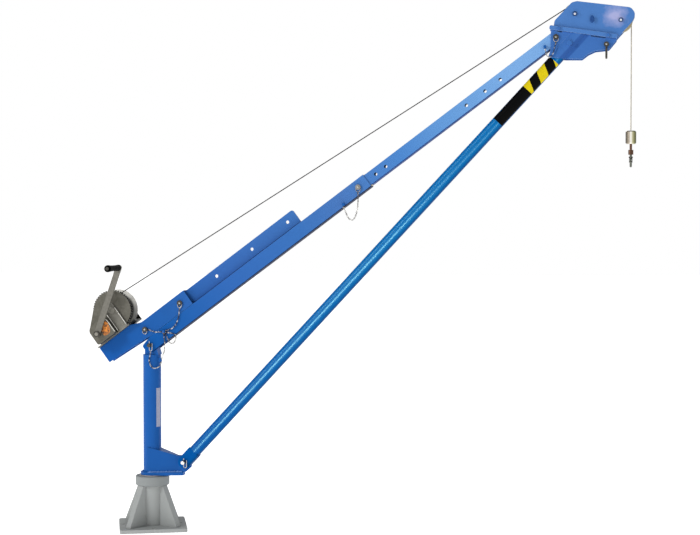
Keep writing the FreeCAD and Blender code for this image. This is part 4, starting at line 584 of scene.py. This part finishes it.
def galvanised(name, colour, shade, roughness, front_shade=None, hub_shade=None, metallic=0.85):
    """Zinc on sheet: crystals 9 mm across in two tones over stains of 40 mm.

    The sheet can be painted black as shade past a level along a given way, and within a radius of a given
    centre."""
    zinc, tree, shader = new_material(name)
    place = add(tree, "TexCoord").outputs["Object"]
    cells = add(tree, "TexVoronoi", sockets={"Vector": place, "Scale": 1000 / crystal_mm})
    crystal = add(tree, "SeparateColor", sockets={"Color": cells.outputs["Color"]})
    stain = add(tree, "TexNoise", sockets={"Vector": place, "Scale": 1000 / zinc_stain_mm, "Detail": 4.0})
    both = add(tree, "Math", {"operation": "MULTIPLY_ADD"}, {
        0: crystal.outputs["Red"], 1: 0.35, 2: stain.outputs["Fac"]})
    tone = add(tree, "Mix", {"data_type": "RGBA"}, {0: both.outputs[0], 6: linear(colour), 7: linear(shade)})
    # Past the level the zinc is painted black as shade.
    if front_shade:
        way, limit = front_shade
        level = add(tree, "VectorMath", {"operation": "DOT_PRODUCT"}, {0: place, 1: way}).outputs["Value"]
        past = add(tree, "MapRange", sockets={
            "Value": level, "From Min": limit - front_shade_blur, "From Max": limit + front_shade_blur})
        shaded_tones = {0: past.outputs["Result"], 6: tone.outputs[2], 7: linear("1c1d1a")}
        tone = add(tree, "Mix", {"data_type": "RGBA"}, shaded_tones)
    # Within the radius the zinc is painted black as shade.
    if hub_shade:
        centre, radius = hub_shade
        flat = add(tree, "VectorMath", {"operation": "MULTIPLY"}, {0: place, 1: (1, 0, 1)}).outputs["Vector"]
        gap = add(tree, "VectorMath", {"operation": "DISTANCE"}, {0: flat, 1: centre}).outputs["Value"]
        inside = add(tree, "MapRange", sockets={
            "Value": gap, "From Min": radius + hub_blur, "From Max": radius - hub_blur})
        shaded_tones = {0: inside.outputs["Result"], 6: tone.outputs[2], 7: linear("22211e")}
        tone = add(tree, "Mix", {"data_type": "RGBA"}, shaded_tones)
    dull = add(tree, "MapRange", sockets={
        "Value": crystal.outputs["Green"], "To Min": roughness, "To Max": roughness + 0.14})
    soft = add(tree, "Bevel", {"samples": 4}, {"Radius": zinc_edge})
    set_sockets(shader, {
        "Base Color": tone.outputs[2], "Metallic": metallic, "Roughness": dull.outputs["Result"],
        "Normal": soft.outputs["Normal"]})
    return zinc


drum_place, dark_hub, front_setback = np.array([-0.187591, 0.0, 1.084086]), 0.08, 0.018
frame_front = (tuple(boom_way), pivot @ boom_way - front_setback)
# The frame's front is painted black as shade.
dress(galvanised("weathered_zinc_sheet", "8a8880", "6c6a63", 0.4, front_shade=frame_front), "winch_frame")
dress(galvanised("weathered_zinc_guard", "706e66", "59574f", 0.4), "gear_guard", "brake_cover")
# The drum's flanges are near-white as a painted highlight, and painted black as shade near its axis.
dress(galvanised("highlight_zinc", "f4f2ea", "dedcd4", 0.4, hub_shade=(tuple(drum_place), dark_hub), metallic=0.15),
      "rope_drum")
dress(galvanised("dull_zinc_bar", "827f78", "6a6861", 0.4), "crank_arm")
dress(machined("greased_gear_steel", "3a3935", "242320", 0.36),
      "drum_gear", "ratchet_wheel", "pawl", "pinion")
dress(dark_steel, "grip_spindle")
dress(galvanised("dull_zinc_bolts", "9b988f", "7b7971", 0.36), "winch_bolts", "pinion_shaft")

# The folds of the winch's strap and the rim of its brake cover are rolled over, and the rolls are near-white
# as painted highlights.
# Each roll is a bead of 4 mm that follows its edge.
roll_radius, roll_step, strap_face, cover_face = 0.002, 0.004, -69.6, -97.6
strap_rises, roll_ends = (150, 185, 220, 255), (0.05, 0.7)
cover_edge = ((-124, 243), (-100, 243), (-87, 230), (-87, 190), (-87, 149))


def smooth_line(points, steps=16):
    """Gives the points of a NURBS line of order 3 on a route's points."""
    curve = bpy.data.curves.new("route", "CURVE")
    curve.dimensions = "3D"
    spline = curve.splines.new("NURBS")
    spline.points.add(len(points) - 1)
    for point, place in zip(spline.points, points):
        point.co = (*place, 1)
    spline.order_u = 3
    spline.use_endpoint_u = True
    spline.resolution_u = steps
    holder = bpy.data.objects.new("route", curve)
    scene.collection.objects.link(holder)
    bpy.context.view_layer.update()
    mesh = bpy.data.meshes.new_from_object(holder)
    line = np.array([vertex.co for vertex in mesh.vertices])
    bpy.data.objects.remove(holder)
    bpy.data.meshes.remove(mesh)
    bpy.data.curves.remove(curve)
    return line


def along(points, step):
    """Reads points at equal steps along a line of points, with the way that the line goes at each."""
    run = np.r_[0, np.cumsum(np.linalg.norm(np.diff(points, axis=0), axis=1))]
    places = np.linspace(0, run[-1], max(2, round(run[-1] / step) + 1))
    read = np.stack([np.interp(places, run, points[:, k]) for k in range(3)], 1)
    way = np.gradient(read, axis=0)
    return read, way / np.linalg.norm(way, axis=1, keepdims=True), places


def sides_of(way, start):
    """Carries a side direction along a line without twist: each is the last less its part along the way."""
    side = np.empty_like(way)
    last = np.array(start, float)
    for k, w in enumerate(way):
        last = last - w * (last @ w)
        last = last / np.linalg.norm(last)
        side[k] = last
    return side, np.cross(way, side)


def on_winch(places):
    """Turns millimetres along, beside and across the boom, from its pivot, into places."""
    return pivot + np.array(places) @ np.stack([boom_way, (0, 1, 0), boom_up]) / 1000


# The rolls' near-white zinc is a painted highlight.
roll_highlight_zinc = galvanised("highlight_zinc_edge", "f6f4ec", "dcdad2", 0.3, metallic=0.3)
# Each roll has its edge's points, in millimetres along, beside and across the boom.
ROLLS = (
    ("strap_front_roll", [(-26, strap_face, rise) for rise in strap_rises]),
    ("strap_rear_roll", [(-80, strap_face, rise) for rise in strap_rises]),
    ("cover_roll", [(reach, cover_face, rise) for reach, rise in cover_edge]),
)
for name, route in ROLLS:
    centre, way, _ = along(smooth_line(on_winch(route)), roll_step)
    u, v = sides_of(way, (0, 1, 0))
    swell = roll_radius * np.r_[roll_ends, np.ones(len(centre) - 4), roll_ends[::-1]]
    ring = round_ring(10)[:, None]
    from_edge = np.cos(ring) * u[:, None] + np.sin(ring) * v[:, None]
    roll_points = centre[:, None] + swell[:, None, None] * from_edge
    roll = surface(name, roll_points, roll_highlight_zinc, close_v=True, flip=True, caps=(0, -1))
    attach(roll, "mast")

# A plain orange patch of paint is on the brake cover, beside the crank's arm.
# It is about 46 mm wide and 62 mm high, with round corners, and a little worn.
patch_along, patch_rise, patch_face, patch_swell = -118, 193, -98.2, 0.3
patch_half_width, patch_half_height, patch_lean, patch_round = 23, 31, 0.25, 0.7
rub_mm = 9.091
orange, orange_tree, orange_shader = new_material("worn_orange_enamel")
rub_and_sheen = add(orange_tree, "TexNoise", sockets={
    "Vector": add(orange_tree, "TexCoord").outputs["Object"], "Scale": 1000 / rub_mm, "Detail": 4.0})
wear_and_edge_highlight = add(orange_tree, "MapRange", sockets={"Value": rub_and_sheen.outputs["Fac"], "From Min": 0.42, "From Max": 0.62})
orange_tone = add(orange_tree, "Mix", {"data_type": "RGBA"}, {
    0: wear_and_edge_highlight.outputs["Result"], 6: linear("d9801f"), 7: linear("54321a")})
set_sockets(orange_shader, {"Base Color": orange_tone.outputs[2], "Roughness": 0.5})
part, turn = np.meshgrid(np.linspace(1, 0.02, 6), round_ring(48), indexing="ij")
wide = patch_half_width * part * np.sign(np.cos(turn)) * np.abs(np.cos(turn)) ** patch_round
tall = patch_half_height * part * np.sign(np.sin(turn)) * np.abs(np.sin(turn)) ** patch_round
patch_points = on_winch(np.stack([
    patch_along + wide + patch_lean * tall, patch_face - patch_swell * (1 - part), patch_rise + tall], -1))
patch = surface("orange_patch", patch_points, orange, close_v=True, flip=True, caps=(-1,))
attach(patch, "mast")

# The crank's grip is moulded from black plastic, dull with use.
# It turns freely on a steel spindle that is riveted to the crank's arm.
dress(moulded("black_moulded_plastic", "050505", "020202", 0.6, gloss=0.02), "crank_grip")

# The rope is laid from six steel strands, which show as six lobes that turn once in a lay of 32 mm.
# It winds on the drum, runs up to the head and falls to the hook.
# The winding and the run are dark with grease, and the fall is clean.
greased_wire = machined("greased_rope_wire", "2a2622", "161310", 0.42)
clean_wire = machined("clean_rope_wire", "c4bdab", "978f7d", 0.42)
dress(greased_wire, "rope_core")
rope_radius, rope_lay, rope_step, lobe_share = 0.0025, 0.032, 0.003, 0.07


def laid_rope(name, line, wire):
    """A rope: rings with a radius of 0.93 + 0.07 cos(6 a) of the rope's, turned once in a lay."""
    centre, way, place = along(line, rope_step)
    u, v = sides_of(way, (0, 1, 0))
    ring = round_ring(24)
    angle = (ring[None, :] + (2 * math.pi * place / rope_lay)[:, None])[..., None]
    radius = rope_radius * (1 - lobe_share + lobe_share * np.cos(6 * ring))[None, :, None]
    points = centre[:, None] + radius * (np.cos(angle) * u[:, None] + np.sin(angle) * v[:, None])
    return surface(name, points, wire, close_v=True, flip=True, caps=(0, -1))


lead, run_way = np.array([-0.526614, 0.0, 0.850105]), np.array([0.850105, 0.0, 0.526614])
wound_radius, wound_pitch, turns, turn_steps = 0.0562, 0.0056, 6, 96
turn = np.linspace(-2 * math.pi * turns, 0, turns * turn_steps + 1)[:, None]
coil = (drum_place + wound_radius * (lead * np.cos(turn) + run_way * np.sin(turn))
        + np.array([0, wound_pitch / (2 * math.pi), 0]) * turn)
winding = laid_rope("rope_on_drum", coil, greased_wire)
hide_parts("rope_winding")
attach(winding, "drum")
run_start = drum_place + lead * wound_radius
rope_route = (
    run_start, run_start + run_way * 1.3, (2.0336, 0, 2.5262), (2.0691, 0, 2.5482), (2.1090, 0, 2.5419),
    (2.2600, 0, 2.5183), (2.3100, 0, 2.5100), (2.3340, 0, 2.4960), (2.3411, 0, 2.4790), (2.3411, 0, 2.4640))
rope_line = smooth_line(rope_route)
hoist_rope = laid_rope("rope_to_head", rope_line, greased_wire)
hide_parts("rope_run", "rope_over_head")
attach(hoist_rope, "mast")
fall_top, weight_top = np.array([2.341081, 0, 2.464]), np.array([2.341081, 0, 1.949075])
fall_line = np.stack([fall_top, weight_top])
fall = laid_rope("rope_fall_to_weight", fall_line, clean_wire)
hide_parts("rope_fall")
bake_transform(fall)

# The weight is a turned drum of steel, polished and brass-plated, that holds the rope taut.
# The hook, its stem and the shackle are forged, and dark with oil and rust.
# Across the weight, a bright band down its middle is a painted highlight, and its dark sides are painted
# shade.
# Stops from the weight's left side to its right: painted shade, a painted highlight in the middle, then
# painted shade.
PAINTED_LIGHT_AND_SHADE = ((0.0, "2e2820"), (0.16, "8d8473"), (0.34, "b9ad9d"), (0.5, "fffdf4"), (0.66, "b9b58f"),
           (0.86, "72734b"), (1.0, "3f4028"))
plating = machined("polished_plated_steel", "c9c4a2", "b3ad88", 0.14, mark_mm=8.0)
plating_tree = plating.node_tree
weight_low, weight_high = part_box("hook_weight")
beside = add(plating_tree, "SeparateXYZ", sockets={"Vector": add(plating_tree, "TexCoord").outputs["Object"]})
across = add(plating_tree, "MapRange", sockets={
    "Value": beside.outputs["X"], "From Min": weight_low[0], "From Max": weight_high[0]})
painted_shading = add(plating_tree, "ValToRGB", sockets={"Fac": across.outputs["Result"]})
set_stops(painted_shading, PAINTED_LIGHT_AND_SHADE)
set_sockets(plating_tree.nodes["Principled BSDF"], {"Base Color": painted_shading.outputs["Color"]})
dress(plating, "hook_weight")
dress(machined("forged_brown_steel", "75594a", "4e3b2f", 0.36), "hook_stem")
dress(machined("forged_grey_steel", "777a70", "33352f", 0.36), "hook")
dress(machined("forged_black_steel", "5e5b56", "24221f", 0.36), "shackle_bow")

# The pins hang on short-link lanyard chains, bright plated, with painted glints and painted shade in patches
# of 9 mm.
# Each link is bent from 2 mm wire, 11 mm long and 7 mm wide, and turned a quarter from the last.
glint_patch_mm = 9.091
chain_zinc = machined("plated_chain", "d2cfc8", "8f8a80", 0.3)
chain_tree = chain_zinc.node_tree
cells = add(chain_tree, "TexVoronoi", sockets={
    "Vector": add(chain_tree, "TexCoord").outputs["Object"], "Scale": 1000 / glint_patch_mm})
cell_value = add(chain_tree, "SeparateColor", sockets={"Color": cells.outputs["Color"]}).outputs["Red"]
# The bright patches are painted glints and the dark ones painted shade.
glint_and_shade_tone = add(chain_tree, "ValToRGB", sockets={"Fac": cell_value})
set_stops(glint_and_shade_tone, ((0.4, "463f35"), (0.75, "dedbd3")))
set_sockets(chain_tree.nodes["Principled BSDF"], {"Base Color": glint_and_shade_tone.outputs["Color"]})
link_wire, link_long, link_wide = 0.002, 0.011, 0.007
link_steps, wire_steps = 20, 8


def link_chain(name, line):
    """Links on a line: each is a ring of wire round a track of two half circles and two straights."""
    bend, half, wire = (link_wide - link_wire) / 2, (link_long - link_wide) / 2, link_wire / 2
    turn, ring = np.meshgrid(round_ring(link_steps), round_ring(wire_steps), indexing="ij")
    local = np.stack([
        (bend + wire * np.cos(ring)) * np.cos(turn) + half * np.sign(np.round(np.cos(turn), 9)),
        (bend + wire * np.cos(ring)) * np.sin(turn),
        wire * np.sin(ring),
    ], -1)
    centre, way, _ = along(line, link_long - 2 * link_wire)
    u, v = sides_of(way, (0, 1, 0))
    odd = (np.arange(len(centre)) % 2 == 1)[:, None]
    axes = np.stack([way, np.where(odd, u, v), np.where(odd, v, -u)], 1)
    end = np.zeros((len(centre), 1))
    end[0], end[-1] = half + bend, -half - bend
    links = (centre + end * way)[:, None, None] + np.einsum("tri,kij->ktrj", local, axes)
    in_link = link_steps * wire_steps
    index = np.pad(np.arange(in_link).reshape(link_steps, wire_steps), ((0, 1), (0, 1)), "wrap")
    faces = (quads(index)[None] + (np.arange(len(centre)) * in_link)[:, None, None]).reshape(-1, 4)
    return smooth_piece(name, links, faces.tolist(), chain_zinc)


CHAINS = (
    ("front_pin_lanyard", ["front_pin_chain"], 0.149,
     ((0.1542, -0.041, 1.0977), (0.1506, -0.041, 1.07), (0.147, -0.041, 1.043), (0.133, -0.041, 1.01),
      (0.107, -0.041, 0.991), (0.0812, -0.041, 0.985))),
    ("hanging_loop", [], 0.173,
     ((0.081, -0.041, 0.978), (0.109, -0.041, 0.974), (0.136, -0.041, 0.968), (0.1344, -0.041, 0.935),
      (0.1113, -0.041, 0.917), (0.0934, -0.041, 0.939), (0.079, -0.041, 0.9742))),
    ("rear_pin_lanyard", ["rear_pin_chain"], 0.08,
     ((-0.0104, -0.041, 0.9904), (0.008, -0.041, 0.983), (0.03, -0.041, 0.977), (0.05, -0.041, 0.977),
      (0.0666, -0.041, 0.982))),
    ("mast_lanyard", ["anchor_chain"], 0.14,
     ((0.071, -0.041, 0.9753), (0.079, -0.041, 0.924), (0.075, -0.036, 0.888), (0.064, -0.03, 0.857),
      (0.056, -0.0258, 0.841))),
    ("pivot_lanyard", ["pivot_chain"], 0.152,
     ((0.052, -0.02, 0.829), (0.052, -0.024, 0.812), (0.042, -0.042, 0.801), (0.018, -0.051, 0.797),
      (0.002, -0.051, 0.819), (0.0, -0.051, 0.849), (0.007, -0.047, 0.8817))),
    ("lock_lanyard", ["lock_chain"], 0.227,
     ((0.977, -0.041, 1.5996), (0.9775, -0.041, 1.588), (0.987, -0.041, 1.57), (0.996, -0.041, 1.545),
      (1.01, -0.041, 1.531), (1.026, -0.041, 1.533), (1.04, -0.041, 1.56), (1.0489, -0.041, 1.613),
      (1.0465, -0.041, 1.6652))),
    ("head_lanyard", ["head_chain"], 0.133,
     ((1.9918, -0.041, 2.3666), (1.987, -0.048, 2.34), (1.978, -0.051, 2.31), (1.966, -0.051, 2.294),
      (1.952, -0.047, 2.3), (1.945, -0.042, 2.32), (1.941, -0.041, 2.3386))),
)
for name, nodes, length, route in CHAINS:
    line = smooth_line(route)
    chain = link_chain(name, line)
    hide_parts(*nodes)
    if name == "lock_lanyard":
        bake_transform(chain)
    else:
        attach(chain, "mast")
